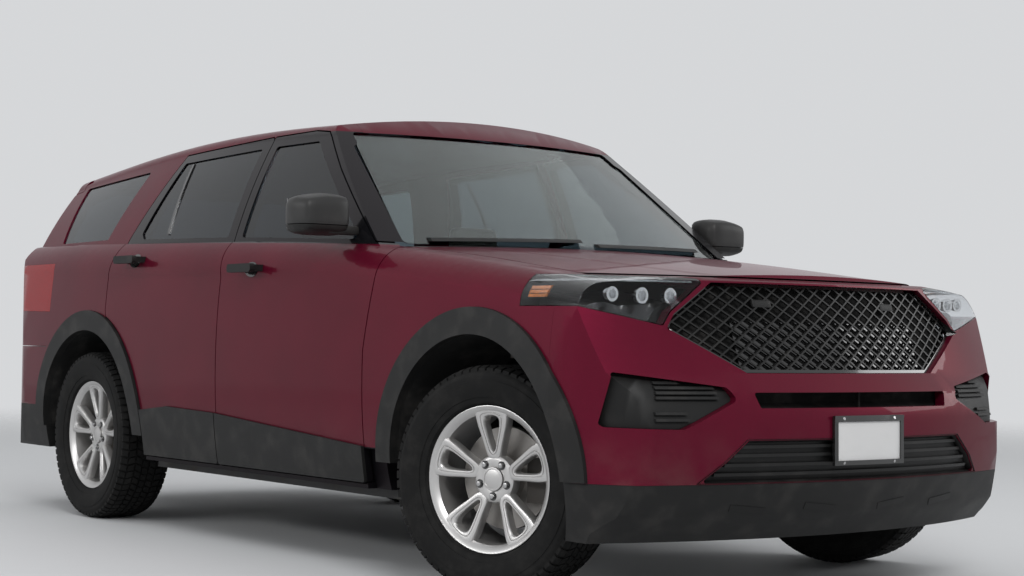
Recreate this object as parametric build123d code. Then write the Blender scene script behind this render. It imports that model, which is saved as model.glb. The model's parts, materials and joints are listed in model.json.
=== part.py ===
"""Patrol-type sport utility car with five doors, in millimetres.

The nose points to -Y, the roof to +Z and the car's left side is at +X.
The origin is on the ground, below the middle of the overall length.
The outer form is one closed envelope: a lower body and a cabin on it. Every panel
is a layer between two shrunken copies of that envelope, cut out by its own outline,
so neighbouring panels stay flush. Right-hand pieces are mirrored for the left.
"""

import os
from functools import cache
from math import sqrt

from build123d import *

os.makedirs("parts", exist_ok=True)

# Driving dimensions
overall_length = 5050.0
wheelbase = 3025.0
front_overhang = 885.0
body_half_width = 990.0
roof_height = 1768.0
track = 1700.0
ground_clearance = 215.0
overrun = 310.0

half_length = overall_length / 2
front_axle_y = front_overhang - half_length
rear_axle_y = front_axle_y + wheelbase
rear_overhang = half_length - rear_axle_y
x_far = body_half_width + overrun
y_far = half_length + overrun
z_far = roof_height + overrun

# Wheels and tyres
tyre_radius = 381.0
tyre_width = 255.0
rim_radius = 228.0
rim_width = 200.0
rim_flange = 18.0
flange_thickness = 9.0
flange_root = 5.0
rim_wall = 11.0
hub_bore_radius = 31.5
running_clearance = 0.1
hub_face_offset = 44.0
hub_pad_radius = 78.0
hub_pad_thickness = 34.0
bolt_circle = 114.3
bolt_count = 5
bolt_hole_radius = 7.5
petal_count = 5
disc_radius = 172.0
disc_thickness = 30.0
disc_inboard = 20.0
wheel_height = tyre_radius

# Steering: the front wheels stand turned to the left, as parked
steer_rest = 18.0
kingpin_x = 780.0

# Walls and gaps
skin = 24.0
rabbet = 8.0
wall = 40.0
deep_wall = 80.0
door_depth = 135.0
frame_depth = 52.0
flange_width = 30.0
aperture_flange = 16.0
panel_gap = 6.0
swing_room = 24.0
seam = 0.8
seat_gap = 0.3
glass_inset = 7.0
glass_thickness = 5.0
trim_proud = 12.0
wiper_height = 8.0

# Lines of the body
sill_z = 322.0
sill_bottom_z = 300.0
sill_top_z = 470.0
b_seam_y = 135.0
door_front_y = -975.0
door_post_z = 800.0
arch_radius = 482.0
arch_trim_width = 92.0
arch_clear = arch_radius + arch_trim_width
trim_foot_z = 404.0
liner_wall = 8.0
liner_inner_x = 602.0
front_seam_y = -2062.0
valance_z = 402.0
rear_seam_z = 785.0
rear_valance_z = 500.0
rear_cover_y = 1850.0
gate_top_y = 2060.0
firewall_y = -1135.0
roof_half = 606.0


def polygon(points, radius=0.0, grow=0.0):
    """A flat face from its corner points, with rounded corners, then grown evenly."""
    face = make_face(Polyline(*points, close=True))
    if radius:
        face = fillet(face.vertices(), radius)
    if grow:
        face = offset(face, grow)
    return face


def side_prism(face, x_low=-x_far, x_high=0.0):
    """A face drawn as (y, z) seen from the side, carried from x_low to x_high."""
    return extrude(Plane.YZ.offset(x_low) * face, x_high - x_low, dir=(1, 0, 0))


def front_prism(face, y_low, y_high):
    """A face drawn as (x, z) seen from the front, carried from y_low to y_high."""
    return extrude(Plane.XZ.offset(-y_high) * face, y_high - y_low, dir=(0, -1, 0))


def plan_prism(face, z_low, z_high=z_far):
    """A face drawn as (x, y) seen from above, carried from z_low to z_high."""
    return extrude(Plane.XY.offset(z_low) * face, z_high - z_low, dir=(0, 0, 1))


def block(x_low, x_high, y_low, y_high, z_low, z_high):
    """A box given by its limits."""
    size = (x_high - x_low, y_high - y_low, z_high - z_low)
    centre = ((x_low + x_high) / 2, (y_low + y_high) / 2, (z_low + z_high) / 2)
    return Pos(*centre) * Box(*size)


def across(radius, x_low, x_high, y=0.0, z=0.0):
    """A cylinder whose axis lies across the car."""
    return Pos((x_low + x_high) / 2, y, z) * Rot(0, 90, 0) * Cylinder(radius, x_high - x_low)


def along(radius, x, y_low, y_high, z):
    """A cylinder whose axis lies along the car."""
    return Pos(x, (y_low + y_high) / 2, z) * Rot(90, 0, 0) * Cylinder(radius, y_high - y_low)


def side_points(shares):
    """Points seen from the side, from shares of the half length and the roof height."""
    return [(y * half_length, z * roof_height) for y, z in shares]


def front_points(shares):
    """Points seen from the front, from shares of the half width and the roof height."""
    return [(x * body_half_width, z * roof_height) for x, z in shares]


def mirrored_points(shares):
    """A symmetrical outline seen from the front, from the points of its right half."""
    right = front_points(shares)
    return right + [(-x, z) for x, z in reversed(right)]


def both_sides(*shapes):
    """Right-hand pieces with their mirror images."""
    return Compound(children=[s for shape in shapes for s in (shape, mirror(shape, Plane.YZ))])


def largest(shape):
    """The largest solid, without slivers left by the cuts."""
    return shape.solids().sort_by(SortBy.VOLUME)[-1]


# Lower body sections, as shares of the half length (y), the roof height (z) and the half width (x):
# y, crown z, shoulder z, shoulder x, waist z, waist x, widest x
lower_section_shares = (
    (-1.016, 0.595, 0.557, 0.869, 0.509, 0.960, 0.990),
    (-0.749, 0.633, 0.608, 0.869, 0.557, 0.972, 0.996),
    (-0.396, 0.682, 0.666, 0.889, 0.602, 0.976, 0.994),
    (0.053, 0.707, 0.697, 0.924, 0.614, 0.976, 0.992),
    (0.549, 0.721, 0.714, 0.914, 0.628, 0.974, 0.996),
    (1.016, 0.721, 0.713, 0.859, 0.628, 0.934, 0.975),
)
widest_z = 600.0
bottom_half_width = 930.0
side_crown = 9.0


def mirrored_arcs(y, points):
    """Arcs through three (x, z) points, on both sides of a cross section."""
    return [ThreePointArc(*[(side * x, y, z) for x, z in points]) for side in (1, -1)]


def lower_section(shares, inset):
    """One closed cross section of the lower body, shrunk by the inset."""
    y, crown = shares[0] * half_length, shares[1] * roof_height
    shoulder_z, waist_z = shares[2] * roof_height, shares[4] * roof_height
    shoulder_x, waist_x, widest_x = (shares[i] * body_half_width for i in (3, 5, 6))
    bottom = (bottom_half_width - inset, ground_clearance + inset)
    widest = (widest_x - inset, widest_z)
    waist = (waist_x - inset, waist_z)
    shoulder = (shoulder_x - inset, shoulder_z - inset)
    low = ((bottom[0] + widest[0]) / 2 + side_crown, (bottom[1] + widest[1]) / 2)
    middle = ((widest[0] + waist[0]) / 2 + side_crown, (widest[1] + waist[1]) / 2)
    high = ((waist[0] + shoulder[0]) / 2 + 2 * side_crown, (waist[1] + shoulder[1]) / 2 + side_crown)
    edges = mirrored_arcs(y, (bottom, low, widest)) + mirrored_arcs(y, (widest, middle, waist))
    edges += mirrored_arcs(y, (waist, high, shoulder))
    corners = [(side * shoulder[0], y, shoulder[1]) for side in (1, -1)]
    edges.append(ThreePointArc(corners[0], (0, y, crown - inset), corners[1]))
    edges.append(Line((-bottom[0], y, bottom[1]), (bottom[0], y, bottom[1])))
    return make_face(Wire(edges))


# Side view of the ends: height as a share of the roof height, setback as a share of the overhang
nose_shares = (
    (0.085, 0.215), (0.133, 0.136), (0.170, 0.062), (0.226, 0.023), (0.266, 0.0), (0.339, 0.002),
    (0.390, 0.034), (0.424, 0.088), (0.591, 0.201), (0.601, 0.232), (0.792, 0.475),
)
tail_shares = (
    (0.085, 0.184), (0.136, 0.114), (0.209, 0.035), (0.266, 0.004), (0.396, 0.0), (0.433, 0.018),
    (0.444, 0.061), (0.673, 0.092), (0.701, 0.110), (0.792, 0.167), (1.075, 0.333),
)
nose_bow = 2600.0
tail_bow = 3200.0
nose_corner = 540.0
tail_corner = 520.0
plan_margin = 2.0


def end_cutter(shares, overhang, reach, bow, direction, inset):
    """What lies outside the bowed end of the body, in front of it or behind it."""
    points = [(bow - setback * overhang - inset, z * roof_height) for z, setback in shares]
    low, high = points[0][1], points[-1][1]
    face = Plane.XZ * make_face(Polyline((0, low), *points, (0, high), close=True))
    dome = Pos(0, direction * (reach - bow), 0) * revolve(face, Axis.Z)
    near, far = sorted((direction * (reach - overhang), direction * y_far))
    return block(-x_far, x_far, near, far, low + seam, high - seam) - dome


def plan_keeper(inset):
    """The rounded plan of the lower body."""
    x, y = body_half_width + plan_margin - inset, half_length + plan_margin - inset
    base = Plane.XY * Rectangle(2 * x, 2 * y)
    base = fillet(base.vertices().group_by(Axis.Y)[0], nose_corner - inset)
    base = fillet(base.vertices().group_by(Axis.Y)[-1], tail_corner - inset)
    return extrude(base, z_far)


@cache
def lower_body(inset):
    """The lower body, solid, shrunk by the inset."""
    shape = loft([lower_section(row, inset) for row in lower_section_shares])
    shape = shape & plan_keeper(inset)
    nose_reach = half_length - trim_proud
    shape = shape - end_cutter(nose_shares, front_overhang, nose_reach, nose_bow, -1, inset)
    shape = shape - end_cutter(tail_shares, rear_overhang, half_length, tail_bow, 1, inset)
    return shape.solid()


# Cabin sections, as shares of the half length (y), the roof height (z) and the half width (x):
# y, crown z, rail z, rail x, belt z, belt x
cabin_section_shares = (
    (-0.535, 0.962, 0.936, 0.662, 0.650, 0.889),
    (-0.139, 0.990, 0.960, 0.675, 0.682, 0.909),
    (0.059, 1.0, 0.968, 0.683, 0.697, 0.917),
    (0.495, 0.983, 0.951, 0.679, 0.710, 0.909),
    (0.970, 0.934, 0.899, 0.642, 0.710, 0.854),
)
cabin_foot = 120.0
frame_top_out = 52.0
frame_top_down = 50.0
window_crown = 13.0
rail_crown = 7.0
rail_inset_shares = (0.6, 0.8)

# The bowed screens: foot of the slope, its run and rise, and its bow in plan
windscreen_slope = dict(base_y=-1130.0, base_z=1190.0, run=650.0, rise=465.0, bow=1950.0, end=-1)
backlight_slope = dict(base_y=2428.0, base_z=1200.0, run=190.0, rise=400.0, bow=2300.0, end=1)


def cabin_section(shares, inset):
    """One closed cross section of the cabin above the belt, shrunk by the inset."""
    y = shares[0] * half_length
    crown, rail_z, belt_z = (shares[i] * roof_height for i in (1, 2, 4))
    rail_x, belt_x = shares[3] * body_half_width, shares[5] * body_half_width
    foot = (belt_x - inset, belt_z - cabin_foot)
    belt = (belt_x - inset, belt_z)
    frame_top = (rail_x + frame_top_out - inset, rail_z - frame_top_down)
    rail = (rail_x - inset * rail_inset_shares[0], rail_z - inset * rail_inset_shares[1])
    middle = ((belt[0] + frame_top[0]) / 2 + window_crown, (belt[1] + frame_top[1]) / 2)
    bend = ((frame_top[0] + rail[0]) / 2 + rail_crown, (frame_top[1] + rail[1]) / 2 + rail_crown)
    edges = [Line((-foot[0], y, foot[1]), (foot[0], y, foot[1]))]
    for side in (1, -1):
        edges.append(Line((side * foot[0], y, foot[1]), (side * belt[0], y, belt[1])))
    edges += mirrored_arcs(y, (belt, middle, frame_top)) + mirrored_arcs(y, (frame_top, bend, rail))
    edges.append(ThreePointArc((rail[0], y, rail[1]), (0, y, crown - inset), (-rail[0], y, rail[1])))
    return make_face(Wire(edges))


def slanted_keeper(base_y, base_z, run, rise, bow, end, inset):
    """Everything on the cabin's side of a bowed screen that leans with run over rise."""
    z_low = base_z - overrun
    shift = inset * sqrt(run * run + rise * rise) / rise
    tip = base_y + end * ((base_z - z_low) * run / rise - shift)
    side_y = tip - end * (bow - sqrt(bow * bow - x_far * x_far))
    arc = ThreePointArc((-x_far, side_y), (0, tip), (x_far, side_y))
    back_y = -end * 2 * y_far
    rest = Polyline((x_far, side_y), (x_far, back_y), (-x_far, back_y), (-x_far, side_y))
    face = Plane.XY.offset(z_low) * make_face([arc] + rest.edges())
    lean = Vector(0, -end * run, rise).normalized()
    return extrude(face, (z_far - z_low) / lean.Z, dir=lean)


@cache
def cabin(inset):
    """The cabin above the belt, solid, shrunk by the inset."""
    shape = loft([cabin_section(row, inset) for row in cabin_section_shares])
    for slope in (windscreen_slope, backlight_slope):
        shape = shape & slanted_keeper(inset=inset, **slope)
    return shape.solid()


def layer(front, back, region):
    """The stretch of wall between two envelopes, inside a region."""
    return (front & region) - back


right_half = block(-x_far, -overrun, -y_far, y_far, 0, z_far)
outer = lower_body(0) + cabin(0)
outer_right = outer & right_half
lower_right = lower_body(0) & right_half
under_right = (lower_body(skin) + cabin(skin)) & right_half
rabbet_right = (lower_body(skin + rabbet) + cabin(skin + rabbet)) & right_half
inner = lower_body(door_depth) + cabin(frame_depth)
inner_right = inner & right_half
pane_front = cabin(glass_inset)
pane_back = cabin(glass_inset + glass_thickness)
nodes = {}

# Inboard limits of the body side and of the doors, following the cabin's lean
side_band_shares = (
    (-0.859, 0.283), (-0.823, 0.317), (-0.823, 0.600), (-0.802, 0.620), (-0.802, 0.679),
    (-0.697, 0.905), (-0.612, 0.939),
)
door_band_shares = (
    (-0.859, 0.283), (-0.823, 0.317), (-0.823, 0.679), (-0.697, 0.905), (-0.672, 1.0),
)
sill_line_x = side_band_shares[0][0] * body_half_width


def side_limit(shares):
    """Everything on the right, outboard of a line drawn from the sill up to the roof."""
    line = front_points(shares)
    points = [(-x_far, 0), (line[0][0], 0)] + line + [(line[-1][0], z_far), (-x_far, z_far)]
    return front_prism(polygon(points), -y_far, y_far)


side_band = side_limit(side_band_shares)
door_band = side_limit(door_band_shares)


def arch(radius, axle_y, inner_x=sill_line_x / 2):
    """The round of a wheel arch, through the right-hand side."""
    return across(radius, -x_far, inner_x, axle_y, wheel_height)


# Doors: outline and window, as (y, z) seen from the side; the windscreen pillar stays on the body
front_door_shares = (
    (-0.412, 0.672), (-0.352, 0.678), (-0.194, 0.848), (-0.113, 0.943), (-0.071, 0.950),
)
rear_door_shares = ((0.358, 0.934), (0.448, 0.722), (0.475, 0.628), (0.475, 0.543), (0.400, 0.182))
door_top_share = 0.948
front_window_shares = (
    (-0.311, 0.687), (-0.162, 0.848), (-0.093, 0.924), (0.0325, 0.924), (0.0325, 0.707),
)
rear_window_shares = (
    (0.078, 0.709), (0.078, 0.923), (0.349, 0.914), (0.404, 0.735), (0.390, 0.7195),
)
quarter_window_shares = ((0.549, 0.726), (0.487, 0.905), (0.792, 0.886), (0.774, 0.726))
front_edge_y = b_seam_y - panel_gap / 2
rear_edge_y = b_seam_y + panel_gap / 2
door_top_z = door_top_share * roof_height
front_door_points = (
    [(door_front_y, sill_z), (door_front_y, door_post_z)]
    + side_points(front_door_shares)
    + [(front_edge_y, door_top_z), (front_edge_y, sill_z)]
)
rear_door_points = (
    [(rear_edge_y, sill_z), (rear_edge_y, door_top_z)]
    + side_points(rear_door_shares[:-1])
    + [(rear_door_shares[-1][0] * half_length, sill_z)]
)
corner_radius = 12.0
window_radius = 14.0
hinge_leaf_x = (-935.0, -895.0)
hinge_leaf_height = 60.0
hinge_leaf_places_z = (560.0, 735.0)
door_table = (
    # name, outline, window, axle of the nearest arch, front edge
    ("front_door", front_door_points, front_window_shares, front_axle_y, door_front_y),
    ("rear_door", rear_door_points, rear_window_shares, rear_axle_y, rear_edge_y),
)


def window_face(shares, grow=0.0):
    """A side window's outline."""
    return polygon(side_points(shares), window_radius, grow)


def door_shell(outline, window, axle_y, edge_y):
    """A whole door: outer skin with its flange, the thick body inside it and two hinge leaves."""
    opening = side_prism(window_face(window)) + arch(arch_clear + panel_gap, axle_y)
    skin_region = (side_prism(polygon(outline, corner_radius)) & door_band) - opening
    core_limit = block(-x_far, 0, -y_far, y_far, sill_top_z, z_far) & door_band
    core_region = side_prism(polygon(outline, corner_radius, -flange_width)) & core_limit
    door = layer(outer_right, under_right, skin_region)
    core_region = core_region - opening - arch(arch_clear + swing_room, axle_y)
    door = door + layer(under_right, inner_right, core_region)
    leaf_y = (edge_y + aperture_flange + seat_gap, edge_y + flange_width + rabbet)
    leaves = [block(*hinge_leaf_x, *leaf_y, z, z + hinge_leaf_height) for z in hinge_leaf_places_z]
    return largest(door + leaves)


def pane(face):
    """A side window's glass."""
    return largest(layer(pane_front, pane_back, side_prism(face)))


cladding_shares = (
    (-0.396, 0.256), (-0.386, 0.257), (0.059, 0.300), (0.222, 0.3065), (0.396, 0.283),
    (0.480, 0.170), (-0.396, 0.170),
)
handle_face_x = -975.0
handle_stand = 31.0
handle_size = (22.0, 190.0, 34.0)
handle_round_share = 0.4
handle_foot = 26.0
handle_foot_place = 76.0
handle_places = {"front_door": (-120.0, 1116.0), "rear_door": (930.0, 1176.0)}


def door_cladding(outline, axle_y):
    """The dark plastic cladding along the foot of a door."""
    strip = side_prism(polygon(outline, corner_radius) & polygon(side_points(cladding_shares)))
    strip = strip - arch(arch_clear + panel_gap, axle_y)
    return layer(lower_body(-trim_proud), lower_body(0), strip).solid()


def door_handle(y, z):
    """A pull handle standing off the door's skin on two feet."""
    grip_x = handle_face_x - handle_stand - handle_size[0] / 2
    grip = Pos(grip_x, y, z) * Box(*handle_size)
    grip = fillet(grip.edges().filter_by(Axis.X), handle_round_share * handle_size[2])
    feet = [
        Pos(handle_face_x, y + place, z) * Box(2 * (handle_face_x - grip_x), handle_foot, handle_foot)
        for place in (-handle_foot_place, handle_foot_place)
    ]
    return largest(grip + feet - outer_right)


mirror_centre = (-1018.0, -712.0, 1304.0)
mirror_size = (232.0, 158.0, 160.0)
mirror_radius = 46.0
mirror_arm = (110.0, 60.0, 34.0)
mirror_arm_centre = (-935.0, -745.0, 1248.0)


def door_mirror():
    """The door mirror on its foot, at the window's lower front corner."""
    head = Pos(*mirror_centre) * Box(*mirror_size)
    head = fillet(head.edges(), mirror_radius)
    arm = Pos(*mirror_arm_centre) * Box(*mirror_arm)
    return largest(head + arm - outer_right)


for label, outline, window, axle_y, edge_y in door_table:
    trim = [door_cladding(outline, axle_y), door_handle(*handle_places[label])]
    pieces = {
        f"{label}_shell": door_shell(outline, window, axle_y, edge_y),
        f"{label}_glass": pane(window_face(window, -seat_gap)),
        f"{label}_trim": Compound(children=trim),
    }
    if label == "front_door":
        pieces["door_mirror"] = door_mirror()
    for name, shape in pieces.items():
        nodes[f"{name}_right"] = shape
        nodes[f"{name}_left"] = mirror(shape, Plane.YZ)

# Outlines of the front end, as (x, z) seen from the front
grille_shares = ((-0.505, 0.588), (-0.662, 0.529), (-0.697, 0.503), (-0.444, 0.424))
lamp_shares = ((-0.517, 0.594), (-0.671, 0.532), (-0.707, 0.507), (-1.02, 0.546), (-1.02, 0.603))
slot_shares = ((-0.444, 0.362), (-0.460, 0.390))
intake_shares = (
    (-0.914, 0.425), (-0.551, 0.399), (-0.525, 0.376), (-0.727, 0.325), (-0.939, 0.328),
)
lower_grille_shares = ((-0.500, 0.305), (-0.662, 0.230))
plate_shares = ((-0.167, 0.257), (-0.167, 0.348))
grille_radius = 10.0
slot_radius = 8.0
lamp_back_y = -1885.0
front_cut_y = -2150.0
hood_shares = ((0.808, -0.402), (0.424, -0.444), (0.0, -0.459))
hood_lip_z = 1050.0
hood_lip_rise = 20.0
hood_rear_z = 1100.0
hood_arm_x = (-760.0, -720.0)
hood_arm_z = (1115.0, 1150.0)
hood_arm_length = 100.0
cowl_depth = 150.0


def hood_rear_line(side_grow, rear_shift):
    """The hood's rear edge from right to left, moved outward and rearward."""
    places = [(x * body_half_width, y * half_length + rear_shift) for x, y in hood_shares]
    right = [(-x - side_grow, y) for x, y in places[:-1]]
    return right + [places[-1]] + [(-x, y) for x, y in reversed(right)]


def hood_region(gap):
    """The space of the hood, with a gap around it."""
    rear = hood_rear_line(gap, gap)
    plan = polygon([(rear[0][0], -y_far)] + rear + [(rear[-1][0], -y_far)])
    rear_y = rear[0][1] + 2 * panel_gap
    band = polygon([
        (-y_far, hood_lip_z - gap), (lamp_back_y, hood_lip_z + hood_lip_rise - gap),
        (rear_y, hood_rear_z - gap), (rear_y, z_far), (-y_far, z_far),
    ])
    return plan_prism(plan, hood_lip_z - wall) & side_prism(band, -x_far, x_far)


def cowl_region(gap):
    """The space of the cowl panel between the hood and the windscreen, with a gap around it."""
    rear = hood_rear_line(gap - panel_gap, panel_gap - gap)
    back_y = rear[0][1] + cowl_depth + 2 * gap
    return plan_prism(polygon(rear + [(rear[-1][0], back_y), (rear[0][0], back_y)]), hood_rear_z)


hood_clear = hood_region(panel_gap)
hood = layer(lower_body(0), lower_body(skin), hood_region(0))
hinge_rear_y = hood_shares[0][1] * half_length + panel_gap
hood_arm = block(*hood_arm_x, hinge_rear_y - hood_arm_length, hinge_rear_y, *hood_arm_z)
hood_arm = hood_arm - cowl_region(seat_gap)
nodes["hood"] = largest(hood + [hood_arm, mirror(hood_arm, Plane.YZ)])

lamp_face = polygon(front_points(lamp_shares), corner_radius)
lamp_space = front_prism(lamp_face, -y_far, lamp_back_y) - hood_clear
lamp_region = front_prism(offset(lamp_face, -seam), -y_far, lamp_back_y - seam) - hood_clear
lamp = layer(lower_right, lower_body(deep_wall), lamp_region)
nodes["headlamps"] = both_sides(largest(lamp))

grille_face = polygon(mirrored_points(grille_shares), grille_radius)
grille_region = front_prism(offset(grille_face, -seam), -y_far, front_cut_y) - hood_clear
nodes["grille"] = largest(layer(lower_body(skin), lower_body(wall), grille_region))

fender_foot_z = 448.0
fender_inner_x = -700.0
door_gap_y = door_front_y - panel_gap
fender_top_y = front_door_shares[0][0] * half_length - panel_gap
fender_top_z = front_door_shares[0][1] * roof_height
fender_points = [
    (door_gap_y, fender_foot_z), (door_gap_y, door_post_z), (fender_top_y, fender_top_z),
    (fender_top_y, z_far), (front_seam_y + seam, z_far), (front_seam_y + seam, fender_foot_z),
]
fender_region = side_prism(polygon(fender_points), -x_far, fender_inner_x)
fender_region = fender_region - [
    arch(arch_clear, front_axle_y), hood_clear, lamp_space, cowl_region(seam),
]
nodes["fenders"] = both_sides(largest(layer(lower_right, lower_body(skin), fender_region)))


def arch_opening(axle_y):
    """Both arches of an axle, with room for the arch trims above their feet."""
    trim_space = block(-x_far, x_far, -y_far, y_far, trim_foot_z - seam, z_far)
    opening = arch(arch_radius, axle_y) + (arch(arch_clear, axle_y) & trim_space)
    return [opening, mirror(opening, Plane.YZ)]


intake_face = polygon(front_points(intake_shares), window_radius)
intake_space = front_prism(intake_face, -y_far, front_cut_y)
bumper_cuts = [hood_clear] + arch_opening(front_axle_y)
for shares, radius in (
    (grille_shares, grille_radius), (slot_shares, slot_radius), (lower_grille_shares, slot_radius),
):
    bumper_cuts.append(front_prism(polygon(mirrored_points(shares), radius), -y_far, front_cut_y))
for space in (lamp_space, intake_space):
    bumper_cuts += [space, mirror(space, Plane.YZ)]
bumper_region = block(-x_far, x_far, -y_far, front_seam_y, valance_z + seam, z_far) - bumper_cuts
nodes["front_bumper_cover"] = largest(layer(lower_body(0), lower_body(wall), bumper_region))

valance_region = block(-x_far, x_far, -y_far, front_seam_y, 0, valance_z) - arch_opening(front_axle_y)
nodes["front_valance"] = largest(layer(lower_body(0), lower_body(wall), valance_region))

insert_region = front_prism(offset(intake_face, -seam), -y_far, front_cut_y)
insert = largest(layer(lower_body(skin) & right_half, lower_body(deep_wall), insert_region))
lower_face = polygon(mirrored_points(lower_grille_shares), slot_radius, -seam)
lower_grille = layer(lower_body(skin), lower_body(wall), front_prism(lower_face, -y_far, front_cut_y))
nodes["bumper_grilles"] = Compound(
    children=[insert, mirror(insert, Plane.YZ), largest(lower_grille)]
)
plate_face = polygon(mirrored_points(plate_shares), slot_radius)
plate_region = front_prism(plate_face, -y_far, front_cut_y)
nodes["front_plate"] = largest(layer(lower_body(-trim_proud), lower_body(0), plate_region))

# Outlines of the rear end, as (x, z) seen from behind
tail_lamp_shares = ((-0.662, 0.669), (-0.662, 0.611), (-0.808, 0.588), (-1.02, 0.527), (-1.02, 0.669))
gate_shares = (
    (-0.646, 0.566), (-0.657, 0.679), (-0.768, 0.714), (-0.707, 0.848), (-0.742, 1.018),
)
gate_foot_share = 0.606
gate_window_shares = ((-0.707, 0.730), (-0.606, 0.882))
gate_window_radius = 20.0
tail_front_y = 1830.0
gate_window_y = 2150.0
gate_arm_x = 400.0
gate_arm_size = 40.0
gate_arm_z = (1618.0, 1650.0)

tail_face = polygon(front_points(tail_lamp_shares), grille_radius)
tail_space = front_prism(tail_face, tail_front_y, y_far)
tail_region = front_prism(offset(tail_face, -seam), tail_front_y + seam, y_far)
nodes["tail_lamps"] = both_sides(largest(layer(lower_right, lower_body(deep_wall), tail_region)))

gate_right = [(-gate_foot_share * body_half_width, rear_seam_z + panel_gap / 2)]
gate_right += front_points(gate_shares)
gate_face = polygon(gate_right + [(-x, z) for x, z in reversed(gate_right)])
gate_glass_face = polygon(mirrored_points(gate_window_shares), gate_window_radius)
gate_region = front_prism(gate_face, gate_top_y, y_far) - front_prism(gate_glass_face, gate_window_y, y_far)
gate_arm_y = (gate_top_y - panel_gap + seat_gap, gate_top_y + gate_arm_size)
gate_arms = [
    block(x - gate_arm_size / 2, x + gate_arm_size / 2, *gate_arm_y, *gate_arm_z)
    for x in (-gate_arm_x, gate_arm_x)
]
nodes["liftgate_shell"] = largest(layer(outer, inner, gate_region) + gate_arms)
gate_glass_region = front_prism(offset(gate_glass_face, -seat_gap), gate_window_y, y_far)
nodes["liftgate_glass"] = largest(layer(pane_front, pane_back, gate_glass_region))

rear_cuts = arch_opening(rear_axle_y)
rear_zone = block(-x_far, x_far, rear_cover_y, y_far, rear_valance_z + seam, rear_seam_z - panel_gap / 2)
nodes["rear_bumper_cover"] = largest(layer(lower_body(0), lower_body(wall), rear_zone - rear_cuts))
rear_foot = block(-x_far, x_far, rear_cover_y, y_far, sill_bottom_z, rear_valance_z)
nodes["rear_valance"] = largest(layer(lower_body(0), lower_body(wall), rear_foot - rear_cuts))

# Fixed body: windscreen, roof, sides and quarter windows
screen_shares = ((-0.800, 0.676), (-0.657, 0.943))
screen_radius = 20.0
screen_rear_y = -300.0
roof_foot_z = 1500.0
screen_face = polygon(mirrored_points(screen_shares), screen_radius)
screen_space = front_prism(screen_face, -y_far, screen_rear_y)
screen_region = front_prism(offset(screen_face, -seat_gap), -y_far, screen_rear_y)
windscreen = largest(layer(pane_front, pane_back, screen_region))
quarter = pane(window_face(quarter_window_shares, -seat_gap))
nodes["fixed_glass"] = Compound(children=[windscreen, quarter, mirror(quarter, Plane.YZ)])

roof_region = block(-roof_half, roof_half, -y_far, gate_top_y - panel_gap, roof_foot_z, z_far)
nodes["roof_panel"] = largest(layer(cabin(0), cabin(frame_depth), roof_region - screen_space))

gate_clear = front_prism(offset(gate_face, panel_gap), gate_top_y - panel_gap, y_far)
side_region = block(-x_far, -roof_half - seam, firewall_y, y_far, sill_bottom_z, z_far) & side_band
side_region = side_region - [
    block(-x_far, 0, rear_cover_y, y_far, 0, rear_seam_z), screen_space, gate_clear, tail_space,
    arch(arch_clear, rear_axle_y), arch(arch_clear, front_axle_y),
    side_prism(window_face(quarter_window_shares)),
]
# Notch behind the closed front door, for its shoulder as it swings past the windscreen pillar
pillar_notch_x = (-864.0, -832.0)
pillar_notch_y = (-899.0, -850.0)
pillar_notch_z = (1176.0, 1199.0)
aperture_limit = block(-x_far, 0, -y_far, y_far, sill_top_z - aperture_flange, z_far)
fender_cover = polygon([
    (-y_far, 0), (door_front_y, 0), (door_front_y, door_post_z), (fender_top_y, fender_top_z),
    (-y_far, z_far),
])
shallow = side_prism(fender_cover)
for label, outline, window, axle_y, edge_y in door_table:
    aperture = side_prism(polygon(outline, corner_radius, -aperture_flange)) & aperture_limit
    side_region = side_region - aperture
    shallow = shallow + side_prism(polygon(outline, corner_radius, panel_gap))
body_side = layer(outer_right, inner_right, side_region)
body_side = body_side - (shallow - rabbet_right) - (cowl_region(seam) - cabin(0))
body_side = body_side - block(*pillar_notch_x, *pillar_notch_y, *pillar_notch_z)
nodes["body_side_right"] = largest(body_side)
nodes["body_side_left"] = mirror(nodes["body_side_right"], Plane.YZ)

trims = []
liners = []
above_foot = block(-x_far, 0, -y_far, y_far, trim_foot_z, z_far)
for axle_y in (front_axle_y, rear_axle_y):
    ring = (arch(arch_clear - seat_gap, axle_y) - arch(arch_radius, axle_y)) & above_foot
    trims.append(largest(layer(lower_body(-trim_proud), lower_body(skin), ring)))
    liner = arch(arch_radius + liner_wall, axle_y, -liner_inner_x)
    liner = (liner - arch(arch_radius, axle_y, -liner_inner_x)) & above_foot
    liners.append(largest(liner & lower_body(skin)))
nodes["arch_trims"] = both_sides(*trims)
nodes["wheel_liners"] = both_sides(*liners)
nodes["cowl_panel"] = largest(layer(lower_body(0), lower_body(wall), cowl_region(0)) - cabin(0))

# Wipers, resting on the windscreen above the cowl: each a bar seen from the front
wiper_shares = (
    ((-0.700, 0.683), (-0.060, 0.692), (-0.060, 0.700), (-0.700, 0.691)),
    ((0.010, 0.683), (0.640, 0.688), (0.640, 0.696), (0.010, 0.691)),
)
wipers = []
for bar in wiper_shares:
    bar_region = front_prism(polygon(front_points(bar)), -y_far, screen_rear_y)
    wipers.append(largest(layer(cabin(-wiper_height), cabin(glass_inset - seat_gap), bar_region)))
nodes["wipers"] = Compound(children=wipers)

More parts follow.
